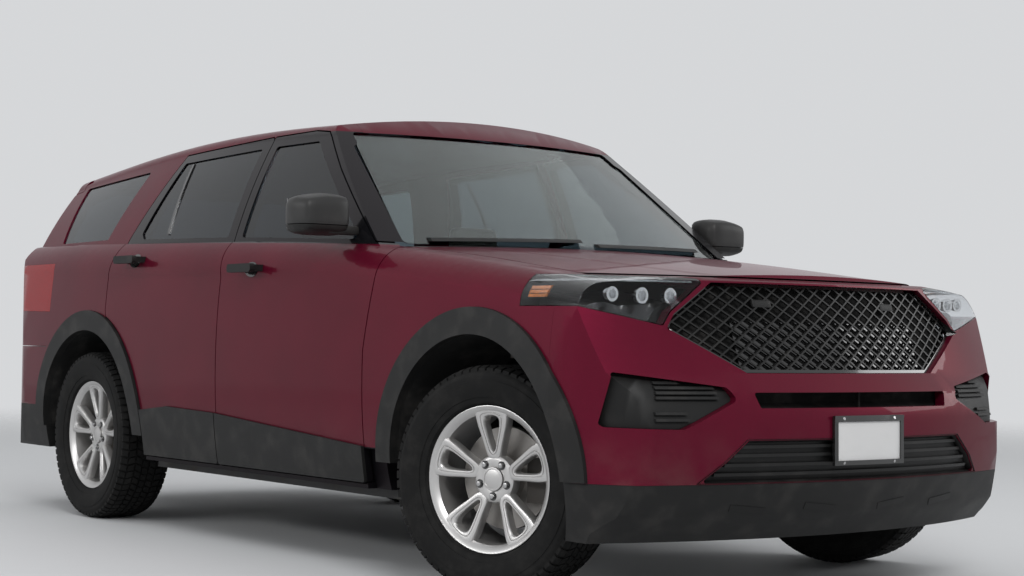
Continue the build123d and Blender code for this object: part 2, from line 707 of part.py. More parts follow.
# Floor, fire wall, raised load floor and rear panel
floor_half = -sill_line_x - seat_gap
floor_z = (261.7, 299.7)
bulkhead_half = 780.0
bulkhead_thickness = 35.0
bulkhead_top_z = 1140.0
step_thickness = 30.0
step_y = (1100.0, 1130.0)
load_floor_z = 650.0
load_floor_half = 590.0
rear_wall_y = 2290.0
wheelhouse_gap = 16.0
bulkhead_y = (firewall_y, firewall_y + bulkhead_thickness)
load_y = (step_y[0], rear_wall_y + step_thickness)
bulkhead = block(-bulkhead_half, bulkhead_half, *bulkhead_y, floor_z[0], bulkhead_top_z)
floor = block(-floor_half, floor_half, firewall_y, step_y[1], *floor_z) + [
    bulkhead & lower_body(wall),
    block(-load_floor_half, load_floor_half, *load_y, load_floor_z - step_thickness, load_floor_z),
    block(-load_floor_half, load_floor_half, *step_y, floor_z[0], load_floor_z),
    block(
        -load_floor_half, load_floor_half, rear_wall_y, load_y[1],
        rear_valance_z, rear_seam_z - 2 * panel_gap,
    ),
]
wheelhouse = arch(arch_radius + wheelhouse_gap, rear_axle_y, -liner_inner_x)
nodes["floor_pan"] = largest(floor - [wheelhouse, mirror(wheelhouse, Plane.YZ)])

# Cabin furniture
dash_half_width = 770.0
dash_radius = 18.0
dash_shares = (
    (-0.434, 0.611), (-0.434, 0.441), (-0.341, 0.362), (-0.317, 0.407), (-0.289, 0.543),
    (-0.301, 0.600), (-0.356, 0.633),
)
wheel_centre = (385.0, -560.0, 1010.0)
column_tilt = 65.0
wheel_ring_radius = 178.0
wheel_grip_radius = 15.0
wheel_boss = (48.0, 36.0)
column_radius = 24.0
column_length = 190.0
wheel_arm_section = (34.0, 16.0)
steering_wheel = Torus(wheel_ring_radius, wheel_grip_radius) + Cylinder(*wheel_boss)
wheel_arm = Pos(wheel_ring_radius / 2, 0, 0) * Box(wheel_ring_radius, *wheel_arm_section)
steering_wheel = steering_wheel + [Rot(0, 0, angle) * wheel_arm for angle in (90, 210, 330)]
steering_wheel = steering_wheel + Pos(0, 0, -column_length / 2) * Cylinder(column_radius, column_length)
wheel_place = Pos(*wheel_centre) * Rot(-column_tilt, 0, 0)
column_space = Pos(0, 0, -column_length) * Cylinder(column_radius + seat_gap, 2 * column_length)
dashboard = side_prism(polygon(side_points(dash_shares), dash_radius), -dash_half_width, dash_half_width)
nodes["dashboard"] = largest(dashboard - wheel_place * column_space)
nodes["steering_wheel"] = wheel_place * steering_wheel.solid()

seat_radius = 22.0
rest_half_width = 130.0
rest_height = 170.0
# Seat profile, as shares of the cushion's length (y) and of the back's height (z); the head rest's z
# shares are of its own height, above the back
seat_profile_shares = (
    (0.0, 0.0), (0.0, 0.36), (0.12, 0.39), (0.88, 0.34), (1.24, 1.0), (1.43, 1.0), (1.22, 0.0),
)
rest_profile_shares = ((1.25, -0.1), (1.29, 1.0), (1.43, 1.0), (1.42, -0.1))


def seat(width, x, y, cushion_length, back_height):
    """A seat: cushion, leaning back and head rest, from one side profile."""
    points = [(y + a * cushion_length, sill_bottom_z + b * back_height) for a, b in seat_profile_shares]
    body = side_prism(polygon(points, seat_radius), x - width / 2, x + width / 2)
    top_z = sill_bottom_z + back_height
    points = [(y + a * cushion_length, top_z + b * rest_height) for a, b in rest_profile_shares]
    rest = side_prism(polygon(points, corner_radius), x - rest_half_width, x + rest_half_width)
    return (body + rest).solid()


front_seat = seat(width=500.0, x=-385.0, y=-430.0, cushion_length=500.0, back_height=890.0)
bench = seat(width=1170.0, x=0.0, y=520.0, cushion_length=440.0, back_height=850.0)
nodes["seats"] = Compound(children=[front_seat, mirror(front_seat, Plane.YZ), bench])

# Under the hood: frame rails with cross-members, engine and radiator
rail_x = 420.0
rail_half = 36.0
rail_z = (300.0, 400.0)
rail_front_y = -2300.0
horn_length = 60.0
beam_half = 560.0
beam_z = (480.0, 590.0)
cross_half = 500.0
cross_height = 60.0
cross_length = 80.0
cross_places_y = (-1980.0, -1420.0)
engine_half = 310.0
engine_y = (-2060.0, -1250.0)
engine_top_z = 900.0
radiator_half = 400.0
radiator_y = (-2235.0, -2185.0)
front_frame = block(-beam_half, beam_half, rail_front_y - horn_length, rail_front_y, *beam_z)
front_frame = front_frame + [
    block(-cross_half, cross_half, y, y + cross_length, rail_z[0], rail_z[0] + cross_height)
    for y in cross_places_y
]
for x in (-rail_x, rail_x):
    rail = block(x - rail_half, x + rail_half, rail_front_y, firewall_y - seat_gap, *rail_z)
    horn = block(x - rail_half, x + rail_half, rail_front_y, rail_front_y + horn_length, rail_z[0], beam_z[1])
    front_frame = front_frame + [rail, horn]
nodes["front_frame"] = front_frame.solid()
engine_bottom_z = rail_z[0] + cross_height + seat_gap
nodes["engine_block"] = block(-engine_half, engine_half, *engine_y, engine_bottom_z, engine_top_z)
radiator_z = (rail_z[1] + seat_gap, engine_top_z)
nodes["radiator"] = block(-radiator_half, radiator_half, *radiator_y, *radiator_z)

# Suspension: fixed arms from the frame to the knuckles, each with its width and height
lower_arm_z = 215.0
lower_arm = (60.0, 26.0)
upper_arm_z = 800.0
upper_arm = (50.0, 24.0)
ball_radius = 26.0
post_half_length = 90.0
post_top_z = 860.0
post_x = (rail_x + rail_half + seat_gap, cross_half)
rear_beam_half = 460.0
rear_beam_z = (320.0, 400.0)
rear_link = (120.0, 60.0)

# Knuckle, beside a left wheel whose middle is at x = 0 and whose outer side is at +x
upright_x = -90.0
upright = (36.0, 90.0, 260.0)
spindle_x = (-80.0, 70.0)
neck_x = -157.5
neck = (26.0, 60.0, 400.0)
neck_z = 215.0
bridge_z = 60.0
bridge_height = 50.0
joint_plate = 20.0
cap_thickness = 16.0
caliper = (84.0, 90.0, 150.0)
caliper_y = -150.0
carrier_x = -76.0
carrier = (36.0, 130.0, 60.0)
disc_clearance = 5.0


def between(x_one, x_two, width, height, z, margin=0.0):
    """A bar across the car between two places, centred on the axle."""
    low, high = sorted((x_one, x_two))
    return block(low - margin, high + margin, -width / 2, width / 2, z, z + height)


def knuckle(steered):
    """A left-hand upright with its spindle and brake caliper, and a goose neck if it steers."""
    pivot_x = kingpin_x - track / 2
    slot_half = disc_thickness / 2 + disc_clearance
    slot = across(disc_radius + disc_clearance, -disc_inboard - slot_half, -disc_inboard + slot_half)
    shoe = Pos(-disc_inboard, caliper_y, 0) * Box(*caliper) - slot
    body = across(hub_bore_radius - running_clearance, *spindle_x) + [
        shoe, Pos(upright_x, 0, 0) * Box(*upright), Pos(carrier_x, caliper_y / 2, 0) * Box(*carrier),
    ]
    if steered:
        foot_z = lower_arm_z + lower_arm[1] + seat_gap - wheel_height
        top_z = upper_arm_z - seat_gap - wheel_height - cap_thickness
        body = body + [
            Pos(pivot_x, 0, foot_z + joint_plate / 2) * Cylinder(ball_radius, joint_plate),
            between(pivot_x, upright_x, 2 * ball_radius, joint_plate, foot_z),
            Pos(neck_x, 0, neck_z) * Box(*neck),
            between(neck_x, upright_x, neck[1], bridge_height, bridge_z),
            Pos(pivot_x, 0, top_z + cap_thickness / 2) * Cylinder(ball_radius, cap_thickness),
            between(neck_x, pivot_x, upper_arm[0], cap_thickness, top_z, neck[0] / 2),
        ]
    return body.solid()


def brake_disc():
    """Disc with its hat, bored for the spindle."""
    half = disc_thickness / 2
    disc = across(disc_radius, -disc_inboard - half, -disc_inboard + half)
    disc = disc + across(hub_pad_radius, -disc_inboard, hub_face_offset - seat_gap)
    return (disc - across(hub_bore_radius, -rim_width, rim_width)).solid()


# Spokes: shares of the rim radius where they start and end, half widths there, and the split of a pair
spoke_root_share = 0.22
spoke_tip_share = 0.985
spoke_root_half = 17.0
spoke_tip_half = 14.0
spoke_split = 15.0
spoke_x = (58.0, 88.0)


def wheel_rim():
    """Twin-spoke alloy wheel: barrel, spokes and bored hub pad."""
    half = rim_width / 2
    flange_radius = rim_radius + rim_flange
    flange_x = half - flange_thickness
    right = [
        (half, rim_radius - rim_wall), (half, flange_radius), (flange_x, flange_radius),
        (flange_x - flange_root, rim_radius),
    ]
    profile = right + [(-x, r) for x, r in reversed(right)]
    rim = revolve(Plane.XZ * make_face(Polyline(*profile, close=True)), Axis.X)
    rim = rim + across(hub_pad_radius, hub_face_offset, hub_face_offset + hub_pad_thickness)
    root, tip = spoke_root_share * rim_radius, spoke_tip_share * rim_radius
    blade = polygon([
        (-spoke_root_half, root), (spoke_root_half, root), (spoke_tip_half, tip), (-spoke_tip_half, tip),
    ])
    spoke = side_prism(blade, *spoke_x)
    petals = [
        Rot(360 / petal_count * index + split, 0, 0) * spoke
        for index in range(petal_count) for split in (-spoke_split, spoke_split)
    ]
    hole = Pos(0, 0, bolt_circle / 2) * across(bolt_hole_radius, -rim_width, rim_width)
    holes = [Rot(360 / bolt_count * index, 0, 0) * hole for index in range(bolt_count)]
    return (rim + petals - [across(hub_bore_radius, -rim_width, rim_width)] - holes).solid()


# Tyre section: shares of half the tyre's width (x) and of its height above the rim (r)
tyre_outer_shares = (
    (0.81, 0.165), (0.905, 0.294), (1.0, 0.588), (0.937, 0.778), (0.733, 0.961), (0.0, 1.0),
)
tyre_inner_shares = ((0.0, 0.856), (0.780, 0.700), (0.765, 0.392))
bead_thickness = 16.0


def tyre():
    """Tyre with a hollow section, seated on the rim inside its flanges."""
    half, height = tyre_width / 2, tyre_radius - rim_radius
    bead_radius = rim_radius + seat_gap
    flange_x = rim_width / 2 - flange_thickness - seat_gap
    bead_x = flange_x - flange_root - seat_gap
    outer_points = [(bead_x, bead_radius), (flange_x, rim_radius + rim_flange + seat_gap)]
    outer_points += [(x * half, rim_radius + r * height) for x, r in tyre_outer_shares]
    inner_points = [(x * half, rim_radius + r * height) for x, r in tyre_inner_shares]
    inner_points.append((bead_x - bead_thickness, bead_radius))
    profile = outer_points + [(-x, r) for x, r in reversed(outer_points[:-1])]
    profile += [(-x, r) for x, r in reversed(inner_points[1:])] + inner_points
    return revolve(Plane.XZ * make_face(Polyline(*profile, close=True)), Axis.X).solid()


def place(shape, side, steered, axle_y):
    """Sets a left-hand piece of a wheel on its own side and axle, turned if it steers."""
    shape = Pos(track / 2, axle_y, wheel_height) * shape
    if side < 0:
        shape = mirror(shape, Plane.YZ)
    if steered:
        shape = shape.rotate(Axis((side * kingpin_x, axle_y, 0), (0, 0, 1)), steer_rest)
    return shape


wheel_pieces = {"tyre": tyre(), "rim": wheel_rim(), "brake_disc": brake_disc()}
steering_knuckle = knuckle(steered=True)
rear_knuckle = knuckle(steered=False)
post_y = (front_axle_y - post_half_length, front_axle_y + post_half_length)
left_arms = block(*post_x, *post_y, lower_arm_z, post_top_z)
for z, (width, height) in ((lower_arm_z, lower_arm), (upper_arm_z, upper_arm)):
    arm = Pos(0, front_axle_y, 0) * between(post_x[1], kingpin_x, width, height, z)
    ball = Pos(kingpin_x, front_axle_y, z + height / 2) * Cylinder(ball_radius, height)
    left_arms = left_arms + [arm, ball]
left_arms = left_arms.solid()
rear_beam_y = (rear_axle_y - post_half_length, rear_axle_y + post_half_length)
rear_beam = block(-rear_beam_half, rear_beam_half, *rear_beam_y, *rear_beam_z)
for side, side_name in ((-1, "right"), (1, "left")):
    for name, shape in wheel_pieces.items():
        nodes[f"{name}_front_{side_name}"] = place(shape, side, True, front_axle_y)
        nodes[f"{name}_rear_{side_name}"] = place(shape, side, False, rear_axle_y)
    nodes[f"steering_knuckle_{side_name}"] = place(steering_knuckle, side, True, front_axle_y)
    link = between(0, side * (track / 2 + upright_x), *rear_link, wheel_height - rear_link[1])
    rear_beam = rear_beam + [place(rear_knuckle, side, False, rear_axle_y), Pos(0, rear_axle_y, 0) * link]
nodes["suspension"] = Compound(
    children=[left_arms, mirror(left_arms, Plane.YZ), rear_beam.solid()]
)

# Under the floor
pipe_radius = 32.0
pipe_x = 120.0
pipe_y = (-900.0, 1960.0)
muffler_x = (60.0, 420.0)
muffler_y = (1900.0, 2240.0)
muffler_height = 90.0
shaft_radius = 36.0
shaft_y = (-1100.0, 1240.0)
pipe_z = floor_z[0] - seat_gap - pipe_radius
muffler_z = (pipe_z - pipe_radius, pipe_z - pipe_radius + muffler_height)
exhaust = along(pipe_radius, pipe_x, *pipe_y, pipe_z) + block(*muffler_x, *muffler_y, *muffler_z)
nodes["exhaust"] = exhaust.solid()
nodes["driveshaft"] = along(shaft_radius, 0, *shaft_y, floor_z[0] - seat_gap - shaft_radius)

for name, shape in nodes.items():
    export_step(shape, f"parts/{name}.step")
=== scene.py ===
import json
import math
import re

import bmesh
import bpy
from mathutils import Matrix, Vector
from mathutils.bvhtree import BVHTree


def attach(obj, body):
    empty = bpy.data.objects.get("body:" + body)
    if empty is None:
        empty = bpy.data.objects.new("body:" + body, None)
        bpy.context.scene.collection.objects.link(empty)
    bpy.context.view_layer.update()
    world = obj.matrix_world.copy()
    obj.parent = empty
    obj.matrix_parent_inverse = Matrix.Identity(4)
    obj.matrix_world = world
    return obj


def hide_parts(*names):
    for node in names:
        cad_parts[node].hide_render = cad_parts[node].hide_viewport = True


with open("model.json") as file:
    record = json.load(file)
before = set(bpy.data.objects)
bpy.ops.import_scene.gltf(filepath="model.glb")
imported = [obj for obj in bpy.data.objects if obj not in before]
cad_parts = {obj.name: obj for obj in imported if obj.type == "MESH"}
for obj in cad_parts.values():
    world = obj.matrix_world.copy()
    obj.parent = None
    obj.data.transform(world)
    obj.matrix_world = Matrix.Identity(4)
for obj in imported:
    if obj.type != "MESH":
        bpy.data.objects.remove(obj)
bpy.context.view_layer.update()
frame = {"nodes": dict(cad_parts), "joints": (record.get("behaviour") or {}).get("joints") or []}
nodes = frame["nodes"]
joints = {joint["name"]: joint for joint in frame["joints"]}
scene = bpy.context.scene
print("frame loaded:", len(nodes), "nodes")

# camera at the photograph's angle
photoCamera = {
    "place": (-4.65265, -6.71909, 0.84620),
    "yaw": 37.0922,
    "pitch": 1.5758,
    "roll": 0.7942,
    "focalPixels": 1878.3,
    "photoWidth": 1024,
    "sensor": 36.0,
}


def addCamera(look):
    yaw, pitch, roll = (math.radians(look[key]) for key in ("yaw", "pitch", "roll"))
    ahead = Vector((math.sin(yaw) * math.cos(pitch), math.cos(yaw) * math.cos(pitch), math.sin(pitch)))
    level = Vector((math.cos(yaw), -math.sin(yaw), 0.0))
    rise = level.cross(ahead)
    right = level * math.cos(roll) + rise * math.sin(roll)
    up = rise * math.cos(roll) - level * math.sin(roll)
    data = bpy.data.cameras.new("photoCamera")
    data.sensor_width = look["sensor"]
    data.lens = look["sensor"] * look["focalPixels"] / look["photoWidth"]
    camera = bpy.data.objects.new("photoCamera", data)
    turn = Matrix((right, up, -ahead)).transposed().to_4x4()
    camera.matrix_world = Matrix.Translation(look["place"]) @ turn
    scene.collection.objects.link(camera)
    scene.camera = camera


addCamera(photoCamera)


def plug(socket, value):
    if isinstance(value, Signal):
        socket.id_data.links.new(value.socket, socket)
    else:
        socket.default_value = value


class Signal:  # a value or colour on its way through a material
    def __init__(self, socket):
        self.socket = socket

    def maths(self, operation, *values):
        node = self.socket.id_data.nodes.new("ShaderNodeMath")
        node.operation = operation
        for slot, value in zip(node.inputs, values):
            plug(slot, value)
        return Signal(node.outputs[0])

    def __add__(self, other):
        return self.maths("ADD", self, other)

    def __sub__(self, other):
        return self.maths("SUBTRACT", self, other)

    def __rsub__(self, other):
        return self.maths("SUBTRACT", other, self)

    def __mul__(self, other):
        return self.maths("MULTIPLY", self, other)

    def __abs__(self):
        return self.maths("ABSOLUTE", self)

    __radd__ = __add__
    __rmul__ = __mul__


class Finish:  # one material and its nodes
    def __init__(self, name, **constants):
        self.material = bpy.data.materials.new(name)
        self.material.use_nodes = True
        self.tree = self.material.node_tree
        self.shader = self.tree.nodes["Principled BSDF"]
        for key, value in constants.items():
            self.shader.inputs[self.title(key)].default_value = value
        self.place = self.node("ShaderNodeTexCoord", out="Object")

    @staticmethod
    def title(key):  # coatRoughness becomes Coat Roughness
        spaced = re.sub("(?<=[a-z])(?=[A-Z])|(?<=[A-Z])(?=[A-Z][a-z])", " ", key)
        return spaced[0].upper() + spaced[1:]

    def node(self, kind, settings=None, sockets=None, out=0):
        node = self.tree.nodes.new(kind)
        for key, value in (settings or {}).items():
            setattr(node, key, value)
        for key, value in (sockets or {}).items():
            plug(node.inputs[key], value)
        return Signal(node.outputs[out])

    def axis(self, letter):
        return self.node("ShaderNodeSeparateXYZ", sockets={0: self.place}, out="XYZ".index(letter))

    def noise(self, scale, detail=2.0, rough=0.5, vector=None):
        sockets = {"Vector": vector or self.place, "Scale": scale, "Detail": detail, "Roughness": rough}
        return self.node("ShaderNodeTexNoise", sockets=sockets)

    def cells(self, scale):
        return self.node("ShaderNodeTexVoronoi", sockets={"Vector": self.place, "Scale": scale})

    def band(self, value, low, high):  # smooth step from low to high
        sockets = {0: value, 1: low, 2: high}
        return self.node("ShaderNodeMapRange", {"interpolation_type": "SMOOTHSTEP"}, sockets)

    def mix(self, factor, first, second):
        sockets = {0: factor, 6: first, 7: second}
        return self.node("ShaderNodeMix", {"data_type": "RGBA"}, sockets, out=2)

    def near(self, point):  # distance from a point of the object
        sockets = {0: self.place, 1: point}
        return self.node("ShaderNodeVectorMath", {"operation": "DISTANCE"}, sockets, out="Value")

    def stretch(self, scale):
        return self.node("ShaderNodeMapping", sockets={"Vector": self.place, "Scale": scale})

    def bump(self, height, strength, distance):
        sockets = {"Height": height, "Strength": strength, "Distance": distance}
        plug(self.shader.inputs["Normal"], self.node("ShaderNodeBump", sockets=sockets))

    def give(self, **sockets):
        for key, value in sockets.items():
            plug(self.shader.inputs[self.title(key)], value)
        return self.material


def grey(level, warmth=0.0):
    return (level * (1 + warmth), level, level * (1 - warmth), 1.0)


paintLook = {
    "deep": (0.052, 0.0022, 0.0100, 1.0),
    "bright": (0.180, 0.0065, 0.0290, 1.0),
    "dust": (0.21, 0.15, 0.13, 1.0),
    "chip": (0.50, 0.44, 0.44, 1.0),
    "chipPlaces": ((-0.945, -2.020, 0.735), (-0.955, -1.990, 0.600), (-0.930, -2.090, 0.560)),
    "chipReach": 0.085,
    "flakeScale": 2400.0,
    "sill": 0.30,
    "dustTop": 0.62,
    "belt": {"from": 1.03, "start": 1.186, "rise": 0.042, "bow": 0.0046},
    "pillarEdge": {"height": 1.19, "lean": -1.42, "place": -0.84, "top": 1.67},
    "frameBlack": (0.006, 0.006, 0.007, 1.0),
    "crease": {"from": 2.35, "slope": 0.125, "half": 0.44, "soft": 0.035, "depth": 0.010},
    "footTop": 0.4525,
    "edgeTint": (0.34, 0.10, 0.17, 1.0),
}


def burgundyPaint(name, framed=False, pillars=False, creased=False, footed=False):
    look = paintLook
    finish = Finish(name, coatRoughness=0.03, coatIOR=1.32, IOR=1.25, specularTint=look["edgeTint"])
    flakes = finish.band(finish.noise(look["flakeScale"], 1.0), 0.42, 0.62)
    drift = finish.noise(2.6, 2.0)
    colour = finish.mix(flakes * 0.55 + drift * 0.35, look["deep"], look["bright"])
    height = finish.axis("Z")
    dust = finish.band(height, look["dustTop"], look["sill"])
    dust = dust * finish.band(finish.noise(9.0, 4.0), 0.35, 0.75)
    colour = finish.mix(dust * 0.22, colour, look["dust"])
    chips = finish.band(finish.noise(150.0, 3.0, 0.7), 0.63, 0.66)
    reach = 0.0
    for place in look["chipPlaces"]:
        reach = finish.band(finish.near(place), look["chipReach"], 0.01) + reach
    chips = chips * finish.band(reach, 0.10, 0.35)
    colour = finish.mix(chips, colour, look["chip"])
    metal = 0.42 - chips * 0.4
    rough = 0.30 + dust * 0.25 + finish.noise(14.0, 3.0) * 0.05
    coat = 0.42 - dust * 0.20 - chips * 0.4
    if framed or pillars:
        belt = look["belt"]
        along = finish.axis("Y") + belt["from"]
        beltHeight = belt["start"] + along * belt["rise"] - along * along * belt["bow"]
        black = finish.band(height - beltHeight, -0.001, 0.001)
        if pillars:  # only the windscreen pillar stays black
            edge = look["pillarEdge"]
            leaned = finish.axis("Y") + (height - edge["height"]) * edge["lean"]
            black = black * finish.band(leaned, edge["place"], edge["place"] - 0.002)
            black = black * finish.band(height, edge["top"] + 0.002, edge["top"] - 0.002)
        colour = finish.mix(black, colour, look["frameBlack"])
        metal = metal * (1.0 - black)
        rough = rough * (1.0 - black) + black * 0.16
    if footed:  # below the cladding's upper edge the fender and the sill are painted black: partly the black cladding, which on the car reaches down to the sill and forward to the arch, partly painted shade of the shadowed underbody below it
        foot = finish.band(height, look["footTop"] + 0.001, look["footTop"] - 0.001)
        colour = finish.mix(foot, colour, look["frameBlack"])
        metal = metal * (1.0 - foot)
        rough = rough * (1.0 - foot) + foot * 0.5
        coat = coat * (1.0 - foot)
    if creased:  # two long creases that converge towards the grille
        crease = look["crease"]
        along = (finish.axis("Y") + crease["from"]) * crease["slope"]
        across = abs(finish.axis("X")) - along - crease["half"]
        finish.bump(finish.band(across, crease["soft"], -crease["soft"]), 1.0, crease["depth"])
    else:
        finish.bump(finish.noise(420.0, 1.0), 0.012, 0.0004)
    return finish.give(baseColor=colour, metallic=metal, roughness=rough, coatWeight=coat)


def mouldedPlastic(name, level, grain, rough, dusty=0.12, depth=0.35):
    finish = Finish(name, specularIORLevel=0.26)
    pits = finish.cells(grain)
    patches = finish.noise(5.0, 4.0)
    dust = finish.band(finish.noise(11.0, 5.0), 0.45, 0.75) * dusty
    colour = finish.mix(patches * 0.4, grey(level), grey(level * 1.2, 0.02))
    colour = finish.mix(dust, colour, grey(0.22, 0.08))
    finish.bump(pits * 0.7 + finish.noise(grain * 1.7, 2.0) * 0.3, depth, 0.0006)
    return finish.give(baseColor=colour, roughness=rough + patches * 0.12)


def glossBlack(name, level=0.007, rough=0.12):
    finish = Finish(name, coatWeight=0.7, coatRoughness=0.04)
    haze = finish.band(finish.noise(7.0, 5.0), 0.4, 0.8)
    colour = finish.mix(haze * 0.3, grey(level), grey(level * 3.0))
    finish.bump(finish.noise(500.0, 1.0), 0.01, 0.0003)
    return finish.give(baseColor=colour, roughness=rough + haze * 0.08)


def paneGlass(name, tint, smudge=0.02, rearTint=None, bend=1.46):
    finish = Finish(name, transmissionWeight=1.0, IOR=bend)
    streak = finish.noise(3.0, 5.0, 0.6, finish.stretch((1.0, 1.0, 4.0)))
    colour = finish.mix(finish.band(streak, 0.3, 0.8) * 0.25, tint, tuple(min(1.0, c * 1.2) for c in tint))
    if rearTint:
        colour = finish.mix(finish.band(finish.axis("Y"), 0.5, 0.6), colour, rearTint)
    return finish.give(baseColor=colour, roughness=finish.band(streak, 0.35, 0.85) * smudge)


def lampPlastic(name, colour, facets=260.0, through=0.55, shine=0.5):
    bend = 1.2 + shine * 0.4
    finish = Finish(name, transmissionWeight=through, IOR=bend, coatWeight=shine, coatRoughness=0.03)
    cells = finish.cells(facets)
    shade = finish.mix(finish.band(cells, 0.0, 0.7), colour, tuple(c * 0.55 for c in colour[:3]) + (1.0,))
    finish.bump(cells, 0.12, 0.0006)
    return finish.give(baseColor=shade, roughness=0.12 + cells * 0.1)


def metalFinish(name, level, rough, grain=60.0, metallic=1.0, soil=0.15, warmth=0.0, depth=0.06):
    finish = Finish(name)
    cloud = finish.noise(6.0, 4.0)
    speck = finish.noise(grain, 3.0)
    dirt = finish.band(finish.noise(13.0, 5.0), 0.5, 0.8) * soil
    colour = finish.mix(cloud * 0.4, grey(level, warmth), grey(level * 0.8, warmth))
    colour = finish.mix(dirt, colour, grey(0.08, 0.15))
    finish.bump(speck, depth, 0.0005)
    return finish.give(baseColor=colour, roughness=rough + speck * 0.12 + dirt, metallic=metallic - dirt)


def tyreRubber(name):
    finish = Finish(name, specularIORLevel=0.14)
    scuff = finish.noise(18.0, 5.0, 0.65)
    colour = finish.mix(finish.band(scuff, 0.4, 0.75) * 0.5, grey(0.008), grey(0.026, 0.04))
    finish.bump(finish.noise(700.0, 2.0) * 0.6 + scuff * 0.4, 0.25, 0.0006)
    return finish.give(baseColor=colour, roughness=0.62 + scuff * 0.22)


def wovenSeat(name, level):
    finish = Finish(name, sheenWeight=0.35, sheenRoughness=0.5)
    warp = finish.node("ShaderNodeTexWave", {"wave_type": "BANDS"}, {"Vector": finish.place, "Scale": 190.0})
    weft = finish.node(
        "ShaderNodeTexWave", {"wave_type": "BANDS", "bands_direction": "Z"},
        {"Vector": finish.place, "Scale": 190.0},
    )
    weave = (warp + weft) * 0.5
    cloud = finish.noise(7.0, 3.0)
    colour = finish.mix(weave * 0.5 + cloud * 0.3, grey(level * 0.7, 0.03), grey(level * 1.3, 0.03))
    finish.bump(weave, 0.35, 0.0008)
    return finish.give(baseColor=colour, roughness=0.82 + cloud * 0.1)


finishes = {
    "paint": burgundyPaint("burgundyPaint"),
    "paintFramed": burgundyPaint("burgundyPaintBlackFrames", framed=True, footed=True),
    "paintPillars": burgundyPaint("burgundyPaintBlackPillars", pillars=True, footed=True),
    "paintFender": burgundyPaint("burgundyPaintBlackFoot", footed=True),
    "paintHood": burgundyPaint("burgundyPaintCreasedHood", creased=True),
    "trimGrey": mouldedPlastic("greyTrimGrain", 0.0075, 900.0, 0.48, 0.06),
    "trimBlack": mouldedPlastic("blackTrimGrain", 0.012, 1100.0, 0.46, 0.06, 0.25),
    "meshBlack": mouldedPlastic("blackMeshPlastic", 0.010, 1300.0, 0.32, 0.04, 0.15),
    "pocketBlack": mouldedPlastic("pocketBlackPlastic", 0.005, 900.0, 0.40, 0.02, 0.2),
    "linerBlack": mouldedPlastic("wheelLinerFelt", 0.006, 300.0, 0.85, 0.10, 0.6),
    "cabinGrain": mouldedPlastic("softCabinGrain", 0.020, 800.0, 0.60, 0.03, 0.3),
    # the mirror cap is grained plastic in a lighter grey than the housing: the lighter grey is a painted
    # sheen on its top
    "mirrorCapSheen": mouldedPlastic("mirrorCapSheenGrain", 0.026, 1000.0, 0.36, 0.05, 0.2),
    "gloss": glossBlack("glossBlackTrim"),
    "lampBowl": glossBlack("lampBowlBlack", 0.004, 0.3),
    "tinted": paneGlass("tintedGlass", (0.06, 0.08, 0.10, 1.0)),
    "windscreen": paneGlass("windscreenGlass", (0.60, 0.68, 0.66, 1.0), rearTint=(0.10, 0.13, 0.15, 1.0)),
    "lens": paneGlass("lampLensClear", (0.86, 0.88, 0.90, 1.0), 0.01, bend=1.22),
    "redLens": lampPlastic("redTailLens", (0.36, 0.004, 0.008, 1.0), 320.0, 0.0, 0.08),
    "redReflector": lampPlastic("redReflector", (0.55, 0.010, 0.010, 1.0), 420.0, 0.1),
    "amber": lampPlastic("amberReflector", (0.85, 0.24, 0.02, 1.0), 340.0, 0.3),
    "whiteLens": lampPlastic("paleLampLens", (0.75, 0.78, 0.80, 1.0), 200.0, 0.4),
    "chrome": metalFinish("brightLampMetal", 0.75, 0.06, soil=0.02, depth=0.01),
    "alloy": metalFinish(
        "satinWheelSilver", 0.55, 0.30, grain=900.0, metallic=0.85, soil=0.08, warmth=0.015, depth=0.03,
    ),
    "nut": metalFinish("lugNutSteel", 0.45, 0.22, soil=0.2),
    "disc": metalFinish("turnedDiscIron", 0.32, 0.38, grain=220.0, soil=0.3, warmth=0.05),
    "iron": metalFinish("castArmIron", 0.05, 0.6, grain=260.0, metallic=0.5, soil=0.4, warmth=0.1, depth=0.5),
    "chassis": metalFinish("blackCoatedSteel", 0.03, 0.55, grain=180.0, metallic=0.3, soil=0.5, depth=0.25),
    "engine": metalFinish("castEngineAlloy", 0.30, 0.5, grain=300.0, metallic=0.8, soil=0.5, depth=0.5),
    "exhaust": metalFinish("dullExhaustSteel", 0.40, 0.42, grain=120.0, soil=0.45, warmth=0.08),
    "rubber": tyreRubber("tyreRubber"),
    "seatCloth": wovenSeat("seatCloth", 0.085),
    "plate": mouldedPlastic("blankPlateWhite", 0.62, 500.0, 0.35, 0.05, 0.05),
}
print("finishes made:", len(finishes))


def surfaceOf(*names):  # the CAD nodes' surface, to lay pieces on
    points, faces = [], []
    for name in names:
        mesh = nodes[name].data
        start = len(points)
        points += [v.co.copy() for v in mesh.vertices]
        faces += [[start + i for i in p.vertices] for p in mesh.polygons]
    return BVHTree.FromPolygons(points, faces)


farOff = 4.0  # rays start this far from the middle of the car


# the axis along which a piece's depth is counted, and the way that this depth runs
layWays = {"front": (1, 1), "rear": (1, -1), "right": (0, 1)}


def layOn(bm, surface, side, miss):  # puts each depth behind the surface, or behind miss beside it
    axis, way = layWays[side]
    ray = Vector((0, 0, 0))
    ray[axis] = way
    for vert in bm.verts:
        origin = vert.co.copy()
        origin[axis] = -way * farOff
        hit = surface.ray_cast(origin, ray)[0]
        vert.co[axis] = (hit[axis] if hit else miss) + way * vert.co[axis]


def facing(axis, x, y, z):  # a place whose own z runs along the car's x or y
    turnAxis = {"x": "Y", "y": "X"}[axis]
    return Matrix.Translation((x, y, z)) @ Matrix.Rotation(math.pi / 2, 4, turnAxis)


def cutAway(bm, point, normal, **clear):
    whole = bm.verts[:] + bm.edges[:] + bm.faces[:]
    return bmesh.ops.bisect_plane(bm, geom=whole, plane_co=point, plane_no=normal, **clear)


